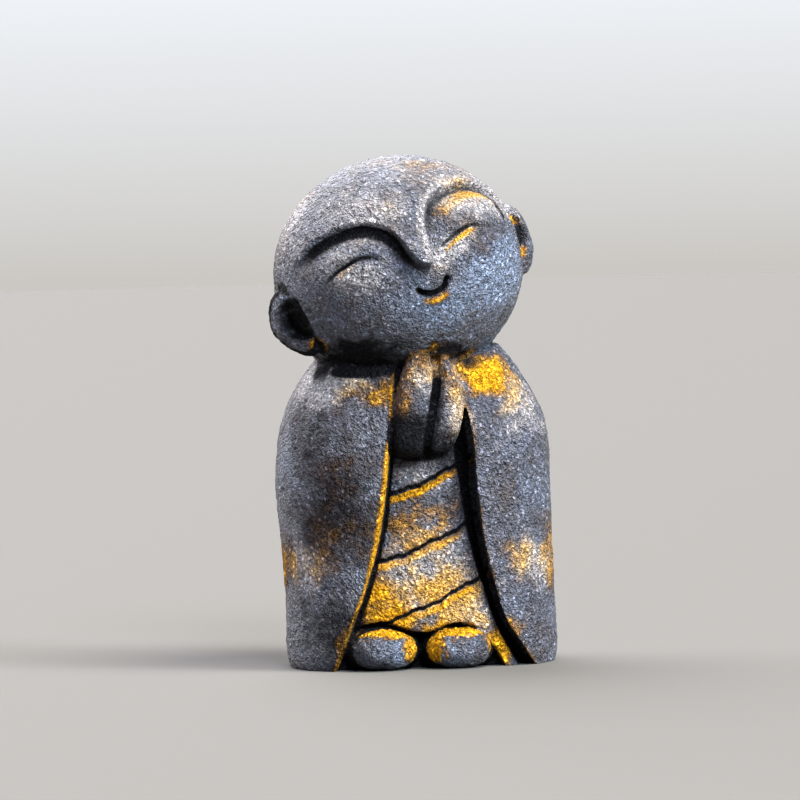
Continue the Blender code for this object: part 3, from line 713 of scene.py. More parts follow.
def forms():
    """Every form of the figure, as overlapping closed meshes."""
    meshes = [ball(head_points, HEAD_DETAIL)]
    for ear in EARS:
        meshes.append(ball(lambda d, e=ear: ear_points(d, *e[:3]), BALL_DETAIL))
    meshes += hands()
    for across in FOOT_ACROSS:
        meshes.append(ball(lambda d, a=across: foot_points(d, a), BALL_DETAIL))
    top = MANTLE_HEIGHTS[-1]
    steps = int((top - MANTLE_HEIGHTS[0]) / RING_STEP)
    meshes.append(loft([mantle_ring(z) for z in np.linspace(MANTLE_HEIGHTS[0], top, steps)]))
    steps = int((ROBE_TOP - ROBE_HEIGHTS[0]) / RING_STEP)
    meshes.append(loft([robe_ring(z) for z in np.linspace(ROBE_HEIGHTS[0], ROBE_TOP, steps)]))
    return meshes


def new_object(name, data):
    """Object that holds the data, linked to the scene."""
    item = bpy.data.objects.new(name, data)
    bpy.context.scene.collection.objects.link(item)
    return item


def evaluated(holder):
    """Mesh of an object after its modifiers."""
    graph = bpy.context.evaluated_depsgraph_get()
    return bpy.data.meshes.new_from_object(holder.evaluated_get(graph))


def colour(code):
    """Linear colour of an sRGB hex value."""
    parts = [int(code[k:k + 2], 16) / 255 for k in (1, 3, 5)]
    return tuple(c / 12.92 if c <= 0.04045 else ((c + 0.055) / 1.055) ** 2.4 for c in parts)


def add(tree, kind, inputs=None, **settings):
    """Node of a kind with its settings. An input takes a value, or the socket that feeds it."""
    node = tree.nodes.new(kind)
    for name, value in settings.items():
        setattr(node, name, value)
    for name, value in (inputs or {}).items():
        if isinstance(value, bpy.types.NodeSocket):
            tree.links.new(value, node.inputs[name])
        else:
            node.inputs[name].default_value = value
    return node


def relief_tree():
    """Geometry nodes that give a smooth casting the lumps, grains and pits of its sand mould."""
    tree = bpy.data.node_groups.new("sand_cast_relief", "GeometryNodeTree")
    sockets = tree.interface
    sockets.new_socket("Geometry", in_out="INPUT", socket_type="NodeSocketGeometry")
    for name in RELIEF_INPUTS:
        sockets.new_socket(name, in_out="INPUT", socket_type="NodeSocketFloat")
    sockets.new_socket("Stone", in_out="INPUT", socket_type="NodeSocketMaterial")
    sockets.new_socket("Geometry", in_out="OUTPUT", socket_type="NodeSocketGeometry")
    given = add(tree, "NodeGroupInput").outputs
    where = {"Vector": add(tree, "GeometryNodeInputPosition").outputs[0], "W": given["Seed"]}
    waves = []
    for width, height in (("Lump width", "Lump height"), ("Grain width", "Grain height")):
        scale = add(tree, "ShaderNodeMath", {0: 1.0, 1: given[width]}, operation="DIVIDE").outputs[0]
        noise = add(tree, "ShaderNodeTexNoise", {**where, "Scale": scale, "Detail": 2.0, "Roughness": 0.55},
                    noise_dimensions="4D").outputs[0]
        rise = add(tree, "ShaderNodeMath", {0: noise, 1: RELIEF_LEVEL}, operation="SUBTRACT").outputs[0]
        waves.append((rise, given[height]))
    scale = add(tree, "ShaderNodeMath", {0: 1.0, 1: given["Pit spacing"]}, operation="DIVIDE").outputs[0]
    cell = add(tree, "ShaderNodeTexVoronoi", {**where, "Scale": scale}, voronoi_dimensions="4D")
    pit = add(tree, "ShaderNodeMapRange", {
        "Value": cell.outputs["Distance"], "From Min": PIT_FLOOR, "From Max": PIT_RIM, "To Min": -1.0,
        "To Max": 0.0}, interpolation_type="SMOOTHSTEP").outputs[0]
    waves.append((pit, given["Pit depth"]))
    total = 0.0
    for rise, height in waves:
        wave = add(tree, "ShaderNodeMath", {0: rise, 1: height}, operation="MULTIPLY").outputs[0]
        total = add(tree, "ShaderNodeMath", {0: total, 1: wave}, operation="ADD").outputs[0]
    out = add(tree, "GeometryNodeInputNormal").outputs[0]
    shift = add(tree, "ShaderNodeVectorMath", {0: out, "Scale": total}, operation="SCALE").outputs[0]
    moved = add(tree, "GeometryNodeSetPosition", {"Geometry": given["Geometry"], "Offset": shift}).outputs[0]
    real = add(tree, "GeometryNodeRealizeInstances", {"Geometry": moved}).outputs[0]
    finished = add(tree, "GeometryNodeSetMaterial", {"Geometry": real, "Material": given["Stone"]}).outputs[0]
    add(tree, "NodeGroupOutput", {"Geometry": finished})
    return tree


def cut_at_ground(mesh):
    """Trims a mesh flat at the ground and closes it there."""
    bm = bmesh.new()
    bm.from_mesh(mesh)
    everything = bm.verts[:] + bm.edges[:] + bm.faces[:]
    cut = bmesh.ops.bisect_plane(
        bm, geom=everything, plane_co=(0, 0, 0), plane_no=(0, 0, 1), clear_inner=True)
    rim = [part for part in cut["geom_cut"] if isinstance(part, bmesh.types.BMEdge)]
    bmesh.ops.triangle_fill(bm, edges=rim, use_beauty=True, normal=(0, 0, -1))
    bmesh.ops.recalc_face_normals(bm, faces=bm.faces)
    bm.to_mesh(mesh)
    bm.free()


def sandy(holder, surface, stone):
    """Mesh of the holder with the relief of the sand mould."""
    relief = holder.modifiers.new("Sand relief", "NODES")
    relief.node_group = relief_tree()
    values = {name: float(getattr(surface, name.lower().replace(" ", "_"))) for name in RELIEF_INPUTS}
    values["Stone"] = stone
    for item in relief.node_group.interface.items_tree:
        if item.in_out == "INPUT" and item.name in values:
            relief[item.identifier] = values[item.name]
    mesh = evaluated(holder)
    holder.modifiers.clear()
    return mesh


def cast(meshes, surface, stone):
    """One closed mesh from the overlapping forms, with its sandy relief, cut at the ground."""
    bm = bmesh.new()
    for mesh in meshes:
        bm.from_mesh(mesh)
        bpy.data.meshes.remove(mesh)
    bmesh.ops.recalc_face_normals(bm, faces=bm.faces)
    rough = bpy.data.meshes.new("rough")
    bm.to_mesh(rough)
    bm.free()
    holder = new_object("holder", rough)
    melt = holder.modifiers.new("Melt", "REMESH")
    melt.mode = "VOXEL"
    melt.voxel_size = surface.melt_grain
    holder.data = evaluated(holder)
    holder.modifiers.clear()
    holder.data = sandy(holder, surface, stone)
    cut_at_ground(holder.data)
    thin = holder.modifiers.new("Thin", "DECIMATE")
    thin.use_collapse_triangulate = True
    holder.data.calc_loop_triangles()
    thin.ratio = min(1.0, surface.triangles / len(holder.data.loop_triangles))
    result = evaluated(holder)
    bpy.data.objects.remove(holder)
    return result


def wander(points):
    """Points shifted by soft waves, so that a patch laid by them has an uneven outline."""
    shift = np.zeros_like(points)
    for reach, pace, start in WANDER:
        wave = np.sin(pace * points[:, (1, 2, 0)] + start)
        shift += reach * wave * np.cos(WANDER_CROSS * pace * points[:, (2, 0, 1)])
    return points + shift


def patches(points, table):
    """Strongest of the soft patches at each point."""
    amount = np.zeros(len(points))
    for place, reach, strength in table:
        away = np.linalg.norm((points - np.array(place)) / np.array(reach), axis=1)
        amount = np.maximum(amount, strength * fall(*PATCH_FADE, away))
    return amount


def set_upright(points):
    """Points of the leaning head, from the middle of the head set upright."""
    return (points - np.array(HEAD_CENTRE)) @ np.array(head_turn())


def head_chart(points):
    """Place of each point on the chart of the face, its angle from the middle and its height
    over the plain skull."""
    local = set_upright(points)
    length = np.linalg.norm(local, axis=1)
    across, forward, up = local[:, 0] / length, -local[:, 1] / length, local[:, 2] / length
    angle = np.arccos(np.clip(forward, -1.0, 1.0))
    reach = np.maximum(np.hypot(across, up), 1e-9)
    chart = np.column_stack([across, up]) * (SKIN_RADIUS * angle / reach)[:, None]
    return chart, angle, length - skull_radius(across, forward, up)


def face_patina(points):
    """Ochre and painted shade in the lids, under the brow and on the lip, and pale wear and
    painted highlight on the ridge.
    """
    ochre, soot, worn_and_lit = np.zeros((3, len(points)))
    chart, angle, height = head_chart(points)
    face = np.flatnonzero((angle < FACE_REACH) & (np.abs(height) < SKIN_LIMIT))
    chart, height = chart[face], height[face]
    skin = near(*SKIN_FADE, height - face_relief(chart))
    amount, dark = np.zeros((2, len(face)))
    for line, stain, middle, width, part, cut, edge, blunt in FACE_LINES:
        distance, along = from_line(chart, curve(line))
        amount = np.maximum(amount, stain * (bell(middle, width, distance) * span(part, along)))
        dark = np.maximum(dark, cut * near(*edge, distance) * np.sin(math.pi * along) ** blunt)
    below, share = from_line(chart, curve(BROW_LINE))
    amount = np.maximum(amount, SOCKET_STAIN * span(SOCKET_BAND, below) * span(SOCKET_SPAN, share))
    cut = BROW_SHADE * bell(BROW_SHADE_DISTANCE, BROW_SHADE_WIDTH, below)
    dark = np.maximum(dark, cut * smooth(*BROW_SHADE_START, share))
    reach = LEDGE_REACH - LEDGE_REACH_LOSS * smooth(*LEDGE_REACH_LOSS_SPAN, share)
    ledge = span((LEDGE_EDGE, (LEDGE_FULL * reach, reach)), below) * span(LEDGE_SPAN, share)
    ledge *= LEDGE_SHADE - LEDGE_SHADE_LOSS * smooth(*LEDGE_SHADE_LOSS_SPAN, share)
    dark = np.maximum(dark, ledge)
    ochre[face], soot[face] = amount * skin, dark * skin
    ridge = bell(-RIDGE_DISTANCE, RIDGE_WIDTH, below)
    worn_and_lit[face] = ridge * (RIDGE_LEAST + (1.0 - RIDGE_LEAST) * smooth(*RIDGE_SPAN, share))
    return ochre, soot, worn_and_lit


def ear_patina(points):
    """Painted shade in the hollows of the ears and round the right one's rim, ochre in the left one."""
    local = set_upright(points)
    cos, sin = math.cos(EAR_SPLAY), math.sin(EAR_SPLAY)
    ochre, soot = np.zeros((2, len(points)))
    for place, side, tuck, stain, rim_shade in EARS:
        outward, forward = side * (local[:, 0] - place[0]), -local[:, 1] - place[1]
        up = (local[:, 2] - place[2]) / EAR_HALF_HEIGHT
        out = (outward * cos - forward * sin + tuck * smooth(0.0, 1.0, -up)) / EAR_HALF_WIDTH
        front = outward * sin + forward * cos
        ring, round_rim = ear_ring(out, up), np.hypot(out, up)
        on_ear = (round_rim < EAR_LIMITS[0]) & (np.abs(front) < EAR_LIMITS[1] * EAR_HALF_THICKNESS)
        hole = fall(*EAR_HOLE_RAMPS[0], ring) * near(*EAR_HOLE_RAMPS[1], up - EAR_HOLE)
        wash = fall(*EAR_WASH_RAMPS[0], ring) * smooth(*EAR_WASH_RAMPS[1], np.abs(up - EAR_HOLE))
        rim = rim_shade * smooth(*EAR_RIM_RAMPS[0], round_rim) * near(*EAR_RIM_RAMPS[1], front)
        soot = np.maximum(soot, on_ear * np.maximum(EAR_SHADE * np.maximum(hole, rim_shade * wash), rim))
        ochre = np.maximum(ochre, on_ear * stain * wash)
    return ochre, soot


def robe_patina(points):
    """Ochre on the ledges of the folds, painted shade in the cuts above them and below the hem."""
    across, height = points[:, 0], points[:, 2]
    robe = (np.abs(points[:, 1] - robe_front(across, height)) < ROBE_SKIN) & (height < ROBE_TOP)
    ochre, soot = np.zeros((2, len(points)))
    fade = 1.0 - FOLD_STAIN_LOSS * smooth(*FOLD_STAIN_LOSS_SPAN, across - robe_edge_at(height))
    for fold, strength in zip(FOLD_HEIGHTS, FOLD_STAINS):
        below = fold_line(across, fold) - height
        ochre = np.maximum(ochre, strength * span(FOLD_STAIN_BAND, below) * fade)
        soot = np.maximum(soot, FOLD_SHADE * near(*FOLD_SHADE_EDGE, below + FOLD_SHADE_RISE))
    hem = np.interp(across, *curve(HEM).T)
    inner = (points[:, 1] > -robe_front_at(height) + BEHIND_ROBE) & (points[:, 1] < 0.0)
    inner &= (across > edge_right_at(height)) & (across < robe_edge_at(height) + ROBE_SKIN)
    soot = np.maximum(soot * robe, inner * smooth(*HEM_SHADE_EDGE, hem - height))
    ochre = np.maximum(ochre, patches(wander(points), PANEL_PATCHES))
    return ochre * robe, soot


def opening_patina(points):
    """Ochre along the mantle's front edges, and painted shade in the groove and the seam inside it."""
    across, height = points[:, 0], points[:, 2]
    from_centre, forward = across - centre_at(height), points[:, 1] + forward_at(height)
    angles = np.arctan2(from_centre, -forward)
    inside = oval(angles, half_width_at(height), half_depth_at(height)) - np.hypot(from_centre, forward)
    right, left = edge_right_at(height), edge_left_at(height)
    ochre = np.zeros(len(points))
    for edge, width, (strength, inset, top) in (
            (right, np.interp(height, *np.array(EDGE_WIDTHS).T), EDGE_STAIN_RIGHT),
            (left, EDGE_WIDTH_LEFT, EDGE_STAIN_LEFT)):
        ochre = np.maximum(ochre, strength * bell(inset, width, across - edge) * (height < top))
    groove = smooth(*GROOVE_RAMPS[0], across - robe_edge_at(height)) * fall(*GROOVE_RAMPS[1], across - left)
    groove *= smooth(*GROOVE_RAMPS[2], inside)
    seam = smooth(*SEAM_RAMPS[0], inside) * near(*SEAM_RAMPS[1], across - right - LIP_SLANT_RIGHT)
    soot = np.maximum(groove, SEAM_SHADE * seam) * (height < OPENING_TOP)
    front = points[:, 1] < EDGE_FRONT
    return ochre * front * (inside < EDGE_DEPTH), soot * front


def hand_patina(points):
    """Ochre on the outer sides of the hands, and painted shade low on them and in the slit."""
    across, height = points[:, 0], points[:, 2]
    from_slit = across - profile(SLIT_HEIGHTS, SLIT_MIDDLES)(height)
    right = profile(HAND_RIGHT_HEIGHTS, HAND_RIGHT_OUTLINE)(height)
    left = profile(HAND_LEFT_HEIGHTS, HAND_LEFT_OUTLINE)(height)
    on_hand = (points[:, 1] < HAND_MIDDLE + HAND_BACK) & (height > SLIT_HEIGHTS[0])
    on_hand &= (across > right - HAND_SKIN) & (across < left + HAND_SKIN) & (height < HAND_TOP)
    on_right = from_slit < 0.0
    half = np.where(on_right, across - from_slit - right, left - across + from_slit)
    out = np.abs(from_slit) / np.maximum(half, HAND_LEAST)
    stain = HAND_STAIN[0] + HAND_STAIN[1] * smooth(*HAND_STAIN_RAMPS[1], height)
    ochre = smooth(*HAND_STAIN_RAMPS[0], out) * stain
    ochre = np.maximum(ochre, FINGER_STAIN * smooth(*FINGER_HEIGHTS, height))
    soot = SLIT_CUT_SHADE * near(*SLIT_CUT_SHADE_RAMPS[0], from_slit) * fall(*SLIT_CUT_SHADE_RAMPS[1], height)
    low = fall(HAND_SHADE_FOOT, np.where(on_right, *HAND_SHADE_TOPS), height)
    shade = SLIT_SHADE * near(*SLIT_SHADE_EDGE, from_slit) * (height < SLIT_SHADE_TOP)
    soot = np.maximum.reduce([soot, np.where(on_right, *HAND_SHADE) * low, shade])
    return ochre * on_hand, soot * on_hand


def foot_patina(points, normals):
    """Ochre over the toes and down their inner sides."""
    across, between = points[:, 0], 0.5 * (FOOT_ACROSS[0] + FOOT_ACROSS[1])
    on_foot = (points[:, 1] < TOE_BACK - HEM_HOLLOW) & (points[:, 2] < FOOT_HEIGHT + TOE_SKIN)
    on_foot &= (across > FOOT_ACROSS[0] - FOOT_HALF_WIDTH) & (across < FOOT_ACROSS[1] + FOOT_HALF_WIDTH)
    inward = np.sign(between - across) * normals[:, 0]
    side = TOE_SIDE_STAIN * smooth(*TOE_SIDE, inward) * smooth(*TOE_SIDE_FOOT, points[:, 2])
    return np.maximum(TOE_STAIN * smooth(*TOE_TOP, normals[:, 2]), side) * on_foot


def paint(mesh):
    """Stores how much ochre, painted shade, and dust and painted highlight lie at each point of
    the casting.
    """
    points = array_of(mesh.vertices, "co").astype(float) / MM
    normals = array_of(mesh.vertex_normals, "vector").astype(float)
    face_ochre, face_shade, worn_and_lit = face_patina(points)
    pairs = [layer(points) for layer in (ear_patina, robe_patina, opening_patina, hand_patina)]
    strewn = wander(points)
    ochre = [face_ochre, foot_patina(points, normals), patches(strewn, OCHRE_PATCHES)]
    soot = [face_shade, patches(strewn, SHADE_PATCHES), patches(points, SEAM_PATCHES)]
    ochre = np.maximum.reduce(ochre + [patches(points, LOBE_PATCHES)] + [pair[0] for pair in pairs])
    soot = np.maximum.reduce(soot + [pair[1] for pair in pairs])
    dust = np.maximum(patches(strewn, DUST_AND_HIGHLIGHT_PATCHES), worn_and_lit) - patches(strewn, CLEAN_AND_LIT_PATCHES)
    for name, amount in (("ochre", ochre), ("soot", soot), ("dust", dust)):
        stored = mesh.attributes.new(name, "FLOAT", "POINT")
        stored.data.foreach_set("value", amount.astype(np.float32))


def bare_tree(owner):
    """Emptied node tree of a new material or world."""
    owner.use_nodes = True
    owner.node_tree.nodes.clear()
    return owner.node_tree


def sand_cast_stone(finish):
    """Cast stone, poured in a mould of coarse sand and brushed with an ochre wash. Sand
    grains of about half a millimetre leave a matt, pitted skin that glitters in grazing
    light, helped by painted glints; the wash stays where the brush doesn't reach, and
    painted shade darkens the cuts."""
    material = bpy.data.materials.new("sand_cast_stone")
    tree = bare_tree(material)
    place = add(tree, "ShaderNodeTexCoord").outputs["Object"]
    mm = add(tree, "ShaderNodeVectorMath", {0: place, "Scale": 1.0 / MM}, operation="SCALE").outputs[0]
    fields = {}
    for name in ("ochre", "soot", "dust"):
        fields[name] = add(tree, "ShaderNodeAttribute", attribute_name=name).outputs["Fac"]
    grain = finish.grain_width / MM
    for name, width, detail, roughness, wrinkle in (
            ("clouds", 6.0, 4.0, 0.6, 0.0), ("clumps", 1.7, 3.0, 0.6, 0.3), ("grains", grain, 2.0, 0.6, 0.7)):
        fields[name] = add(tree, "ShaderNodeTexNoise", {
            "Vector": mm, "Scale": 1.0 / width, "Detail": detail, "Roughness": roughness,
            "Distortion": wrinkle}).outputs[0]
    # Crystals, a little smaller than the grains, are made lighter as painted glints.
    sand = add(tree, "ShaderNodeTexVoronoi", {"Vector": mm, "Scale": 1.3 / grain})
    fields["crystal"] = add(tree, "ShaderNodeSeparateColor", {0: sand.outputs["Color"]}).outputs[0]

    # Each field is a weighted sum of the ones before it. Painted shade also pulls the bare stone
    # towards charcoal, sets where the shade colour covers it and makes the surface chalky.
    for name, parts in (
            ("clear", (("soot", 0.3), ("clouds", 1.0))),
            ("warm", (("dust", 1.0), ("clumps", 1.2))),
            ("hold", (("ochre", 1.0), ("clouds", 1.4), ("clumps", 0.6), ("grains", 0.4))),
            ("deep", (("soot", 1.0), ("clumps", 0.5))),
            ("matt", (("hold", 1.0), ("soot", 0.8))),
            ("rise", (("grains", 1.0), ("clumps", 1.2)))):
        total = 0.0
        for part, weight in parts:
            total = add(tree, "ShaderNodeMath", {0: fields[part], 1: weight, 2: total},
                        operation="MULTIPLY_ADD").outputs[0]
        fields[name] = total

    # From the bare stone outwards: bluer stone and painted light, dust and painted highlight,
    # the thin and then the thick wash, and painted shade.
    tones = {name: (*getattr(finish, name), 1.0)
             for name in ("slate", "charcoal", "blue", "dust", "brown", "tan", "ochre", "soot")}
    for made, field, low, high, most, under, over in (
            ("bare", "clear", 0.34, 0.62, 1.0, "slate", "charcoal"),
            ("clean_and_lit", "dust", -0.1, -0.9, 0.9, "bare", "blue"),
            ("dusty_and_lit", "warm", 0.7, 1.6, 1.0, "clean_and_lit", "dust"),
            ("thin", "dust", 0.2, 0.9, 1.0, "brown", "tan"),
            ("stained", "hold", 1.25, 1.95, 0.9, "dusty_and_lit", "thin"),
            ("washed", "hold", 1.5, 2.5, 1.0, "stained", "ochre"),
            ("stone", "deep", 0.4, 1.1, 1.0, "washed", "soot")):
        share = add(tree, "ShaderNodeMapRange", {
            "Value": fields[field], "From Min": low, "From Max": high, "To Max": most},
            interpolation_type="SMOOTHSTEP").outputs[0]
        tones[made] = add(tree, "ShaderNodeMix", {0: share, 6: tones[under], 7: tones[over]},
                          data_type="RGBA").outputs[2]
    stone = tones["stone"]

    # Pits between the grains are darker, partly as painted shade, and their worn tops lighter,
    # partly as painted highlight; the crystals are lighter still, as painted glints.
    for name, low, high, dark, light in (("grains", 0.36, 0.64, 0.5, 1.5), ("crystal", 0.88, 1.0, 1.0, 3.2)):
        grain_shading = add(tree, "ShaderNodeMapRange", {
            "Value": fields[name], "From Min": low, "From Max": high, "To Min": dark, "To Max": light},
            interpolation_type="SMOOTHSTEP").outputs[0]
        stone = add(tree, "ShaderNodeVectorMath", {0: stone, "Scale": grain_shading}, operation="SCALE").outputs[0]

    # Grains this small would hardly show, so they are drawn several times taller than real.
    bump = add(tree, "ShaderNodeBump", {
        "Height": fields["rise"], "Strength": 1.0, "Distance": finish.bump_height}).outputs[0]
    # Bare stone has a low gleam; the wash and the painted shade over it are chalky.
    skin = {}
    for name, bare, chalky in (("Roughness", 0.45, 0.9), ("Specular IOR Level", 0.7, 0.1)):
        skin[name] = add(tree, "ShaderNodeMapRange", {
            "Value": fields["matt"], "From Min": 1.3, "From Max": 1.9,
            "To Min": bare, "To Max": chalky}).outputs[0]
    shader = add(tree, "ShaderNodeBsdfPrincipled", {"Base Color": stone, "Normal": bump, "IOR": 1.5, **skin})
    add(tree, "ShaderNodeOutputMaterial", {"Surface": shader.outputs[0]})
    return material


def painted_board(floor_colour):
    """Matt painted board: a pale even ground. The roller left it a stipple of about a
    millimetre, too shallow to catch the light."""
    material = bpy.data.materials.new("painted_board")
    tree = bare_tree(material)
    place = add(tree, "ShaderNodeTexCoord").outputs["Object"]
    roller = add(tree, "ShaderNodeTexNoise", {"Vector": place, "Scale": 900.0, "Detail": 2.0}).outputs[0]
    bump = add(tree, "ShaderNodeBump", {"Height": roller, "Strength": 0.05, "Distance": 0.0002})
    shader = add(tree, "ShaderNodeBsdfPrincipled", {
        "Base Color": (*floor_colour, 1.0), "Roughness": 0.95, "Specular IOR Level": 0.1,
        "Normal": bump.outputs[0]})
    add(tree, "ShaderNodeOutputMaterial", {"Surface": shader.outputs[0]})
    return material


def surround(stage):
    """Soft light from all round, with a pale backdrop behind the figure."""
    world = bpy.data.worlds.new("studio_surround")
    tree = bare_tree(world)
    seen = add(tree, "ShaderNodeLightPath").outputs["Is Camera Ray"]
    fill = add(tree, "ShaderNodeBackground", {
        "Color": (*stage.fill_colour, 1.0), "Strength": stage.fill_strength})
    way = add(tree, "ShaderNodeTexCoord").outputs["Generated"]
    rise = add(tree, "ShaderNodeSeparateXYZ", {0: way}).outputs["Z"]
    share = add(tree, "ShaderNodeMapRange", {"Value": rise, "From Min": 0.0, "From Max": BACKDROP_RISE})
    pale = add(tree, "ShaderNodeMix", {
        0: share.outputs[0], 6: (*stage.horizon_colour, 1.0), 7: (*stage.sky_colour, 1.0)},
        data_type="RGBA").outputs[2]
    backdrop = add(tree, "ShaderNodeBackground", {"Color": pale, "Strength": 1.0})
    both = add(tree, "ShaderNodeMixShader", {0: seen, 1: fill.outputs[0], 2: backdrop.outputs[0]})
    add(tree, "ShaderNodeOutputWorld", {"Surface": both.outputs[0]})
    return world


def soft_light(name, direction, strength, angle, tint):
    """Broad distant lamp shining from a direction."""
    lamp = bpy.data.lights.new(name, "SUN")
    lamp.energy = strength
    lamp.angle = angle
    lamp.color = tint
    holder = new_object(name, lamp)
    holder.rotation_mode = "QUATERNION"
    holder.rotation_quaternion = Vector(direction).to_track_quat("Z", "Y")
    holder.location = direction


def camera_place(stage):
    """Where the camera stands and how it is turned."""
    sine, cosine = math.sin(stage.azimuth), math.cos(stage.azimuth)
    flat, drop = math.cos(stage.elevation), math.sin(stage.elevation)
    forward = Vector((sine * flat, cosine * flat, -drop))
    level = Vector((cosine, -sine, 0.0))
    upright = level.cross(forward)
    right = level * math.cos(stage.roll) - upright * math.sin(stage.roll)
    up = upright * math.cos(stage.roll) + level * math.sin(stage.roll)
    place = Matrix((right, up, -forward)).transposed().to_4x4()
    place.translation = Vector(stage.eye)
    return place


# How far above the horizon the backdrop is at its palest.
BACKDROP_RISE = 0.065
# Each lamp's direction, width in degrees and tint. Its brightness is a setting of the stage.
LIGHTS = {
    "key_light": ((0.38, -0.3, 0.87), 28, "#fff5e7"),
    "rim_light": ((-0.35, 0.61, 0.71), 70, "#fffcff"),
    "side_light": ((0.75, -0.5, 0.43), 18, "#e7f9ff"),
    "front_light": ((0.15, -0.8, 0.58), 20, "#e7efff"),
}
# Settings that the sizes, the colours and the angles share.
SIZE = {"precision": 5, "unit": "LENGTH"}
SWATCH = {"subtype": "COLOR", "size": 3, "min": 0.0, "max": 1.0}
TURN = {"subtype": "ANGLE", "unit": "ROTATION"}


class MonkSurface(bpy.types.PropertyGroup):
    """Fineness and relief of the casting's surface."""

    melt_grain: FloatProperty(
        name="Melt grain", description="Grid on which the forms are melted into one casting",
        default=0.2 * MM, min=0.05 * MM, **SIZE)
    triangles: IntProperty(
        name="Triangles", description="Triangles kept in the finished casting", default=194000, min=10000)
    lump_width: FloatProperty(
        name="Lump width", description="Width of the soft lumps left by the mould",
        default=2.4 * MM, min=0.1 * MM, **SIZE)
    lump_height: FloatProperty(
        name="Lump height", description="Height of the soft lumps", default=0.4 * MM, min=0.0, **SIZE)
    grain_width: FloatProperty(
        name="Grain width", description="Width of the clumps of sand grains",
        default=0.8 * MM, min=0.1 * MM, **SIZE)
    grain_height: FloatProperty(
        name="Grain height", description="Height of the clumps of sand grains",
        default=0.32 * MM, min=0.0, **SIZE)
    pit_spacing: FloatProperty(
        name="Pit spacing", description="Distance between the small pits",
        default=1.3 * MM, min=0.1 * MM, **SIZE)
    pit_depth: FloatProperty(
        name="Pit depth", description="Depth of the small pits", default=0.2 * MM, min=0.0, **SIZE)
    seed: IntProperty(name="Seed", description="Fixed seed of the sand pattern", default=7, min=0)


class MonkFinish(bpy.types.PropertyGroup):
    """Colours of the stone, its patina and the painted light and shade."""

    slate: FloatVectorProperty(
        name="Slate", description="Cool grey of the bare stone", default=colour("#5d6273"), **SWATCH)
    charcoal: FloatVectorProperty(
        name="Charcoal", description="Darker clouds in the bare stone", default=colour("#4a4a55"), **SWATCH)
    # Blue is also painted light on the lit faces and the back-lit edge.
    blue: FloatVectorProperty(
        name="Blue", description="Bluish grey of clean stone", default=colour("#75829b"), **SWATCH)
    # Dust is also the colour of painted highlights on the places that face the light.
    dust: FloatVectorProperty(
        name="Dust", description="Warm grey dust on the worn places", default=colour("#a09b9f"), **SWATCH)
    # The colour of painted shade in the cuts, the seams and the shaded places.
    soot: FloatVectorProperty(
        name="Soot", description="Nearly black stone in pits and cuts", default=colour("#17171b"), **SWATCH)
    ochre: FloatVectorProperty(
        name="Ochre", description="Bright ochre where the wash is thick", default=colour("#de9d1c"), **SWATCH)
    tan: FloatVectorProperty(
        name="Tan", description="Thin wash over dusty stone", default=colour("#cbab7e"), **SWATCH)
    brown: FloatVectorProperty(
        name="Brown", description="Thin wash over dark stone", default=colour("#6e5236"), **SWATCH)
    grain_width: FloatProperty(
        name="Sand grain", description="Width of one grain of the moulding sand",
        default=0.5 * MM, min=0.05 * MM, **SIZE)
    bump_height: FloatProperty(
        name="Bump height", description="Height of the grains that are finer than the mesh",
        default=2.2 * MM, min=0.0, **SIZE)


class MonkStage(bpy.types.PropertyGroup):
    """Floor, lights and camera."""

    floor_side: FloatProperty(
        name="Floor side", description="Side of the square floor", default=60.0, min=1.0, unit="LENGTH")
    floor_colour: FloatVectorProperty(
        name="Floor", description="Colour of the floor", default=colour("#656462"), **SWATCH)
    horizon_colour: FloatVectorProperty(
        name="Horizon", description="Backdrop where it meets the floor", default=colour("#cbc8c3"), **SWATCH)
    sky_colour: FloatVectorProperty(
        name="Backdrop", description="Backdrop above the figure", default=colour("#f0f4f9"), **SWATCH)
    fill_colour: FloatVectorProperty(
        name="Fill", description="Tint of the light from all round", default=colour("#e5f3ff"), **SWATCH)
    fill_strength: FloatProperty(
        name="Fill strength", description="Brightness of the light from all round", default=0.03, min=0.0)
    key_light: FloatProperty(
        name="Key light", description="Brightness of the main lamp", default=5.8, min=0.0)
    rim_light: FloatProperty(
        name="Rim light", description="Brightness of the lamp behind", default=6.9, min=0.0)
    side_light: FloatProperty(
        name="Side light", description="Brightness of the low lamp at the side", default=4.5, min=0.0)
    front_light: FloatProperty(
        name="Front light", description="Brightness of the weak lamp in front", default=3.0, min=0.0)
    eye: FloatVectorProperty(
        name="Camera place", description="Where the camera stands", default=(-0.075458, -0.694451, 0.061229),
        size=3, subtype="TRANSLATION", unit="LENGTH")
    azimuth: FloatProperty(
        name="Azimuth", description="Turn of the camera round the figure", default=math.radians(6.0), **TURN)
    elevation: FloatProperty(
        name="Elevation", description="How far the camera looks down", default=math.radians(1.64), **TURN)
    roll: FloatProperty(name="Roll", description="Lean of the camera", default=math.radians(1.5), **TURN)
    lens: FloatProperty(name="Lens", description="Focal length in millimetres", default=200.64, min=10.0)


class MONK_OT_cast_figure(bpy.types.Operator):
    """Cast the monk in one piece, with its sandy surface and ochre patina"""

    bl_idname = "monk.cast_figure"
    bl_label = "Cast Figure"

    def execute(self, context):
        scene = context.scene
        stone = sand_cast_stone(scene.monk_finish)
        mesh = cast(forms(), scene.monk_surface, stone)
        points = array_of(mesh.vertices, "co")
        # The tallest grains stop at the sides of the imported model's box.
        inside = np.clip(points, np.array(CAD_LOW), np.array(CAD_HIGH))
        mesh.vertices.foreach_set("co", inside.ravel())
        mesh.update()
        mesh.shade_smooth()
        paint(mesh)
        mesh.name = "monk_casting"
        figure = new_object("monk_casting", mesh)
        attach(figure, "root")
        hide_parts(NODE)
        return {"FINISHED"}


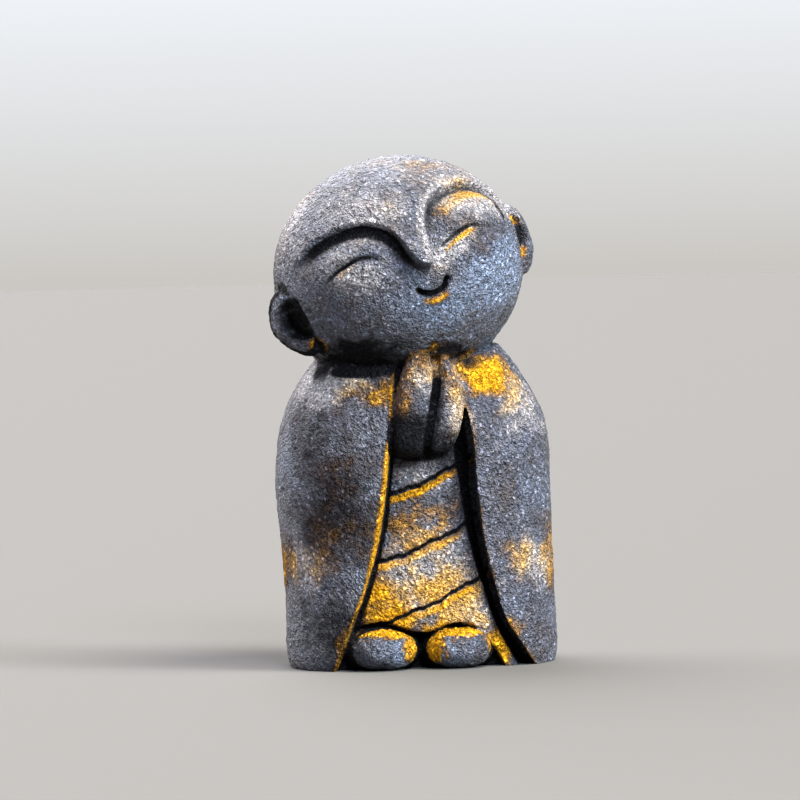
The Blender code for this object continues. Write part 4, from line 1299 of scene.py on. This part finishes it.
class MONK_OT_set_stage(bpy.types.Operator):
    """Lay the pale floor and set the lights and the camera"""

    bl_idname = "monk.set_stage"
    bl_label = "Set Stage"

    def execute(self, context):
        scene = context.scene
        stage = scene.monk_stage
        half = stage.floor_side / 2
        mesh = bpy.data.meshes.new("floor")
        corners = [(-half, -half, 0), (half, -half, 0), (half, half, 0), (-half, half, 0)]
        mesh.from_pydata(corners, [], [(0, 1, 2, 3)])
        mesh.materials.append(painted_board(stage.floor_colour))
        floor = new_object("floor", mesh)
        scene.world = surround(stage)
        for name, (way, width, tint) in LIGHTS.items():
            soft_light(name, way, getattr(stage, name), math.radians(width), colour(tint))
        lens = bpy.data.cameras.new("camera")
        lens.sensor_width = 36.0
        lens.lens = stage.lens
        lens.clip_start = 0.01
        lens.clip_end = 200.0
        scene.camera = new_object("camera", lens)
        scene.camera.matrix_world = camera_place(stage)
        scene.view_settings.view_transform = "Standard"
        return {"FINISHED"}


class MONK_PT_statue(bpy.types.Panel):
    """Makes the statue and its stage"""

    bl_label = "Monk Statue"
    bl_idname = "MONK_PT_statue"
    bl_space_type = "VIEW_3D"
    bl_region_type = "UI"
    bl_category = "Monk Statue"

    def draw(self, context):
        scene = context.scene
        for group, operator in ((scene.monk_surface, None), (scene.monk_finish, "monk.cast_figure"),
                                (scene.monk_stage, "monk.set_stage")):
            box = self.layout.box()
            for name in group.__annotations__:
                box.prop(group, name)
            if operator:
                box.operator(operator)


CLASSES = (MonkSurface, MonkFinish, MonkStage, MONK_OT_cast_figure, MONK_OT_set_stage, MONK_PT_statue)


def register():
    for item in CLASSES:
        bpy.utils.register_class(item)
    bpy.types.Scene.monk_surface = PointerProperty(type=MonkSurface)
    bpy.types.Scene.monk_finish = PointerProperty(type=MonkFinish)
    bpy.types.Scene.monk_stage = PointerProperty(type=MonkStage)


def unregister():
    for name in ("monk_stage", "monk_finish", "monk_surface"):
        delattr(bpy.types.Scene, name)
    for item in reversed(CLASSES):
        bpy.utils.unregister_class(item)


def main():
    register()
    bpy.ops.monk.cast_figure()
    bpy.ops.monk.set_stage()


if __name__ == "__main__":
    main()
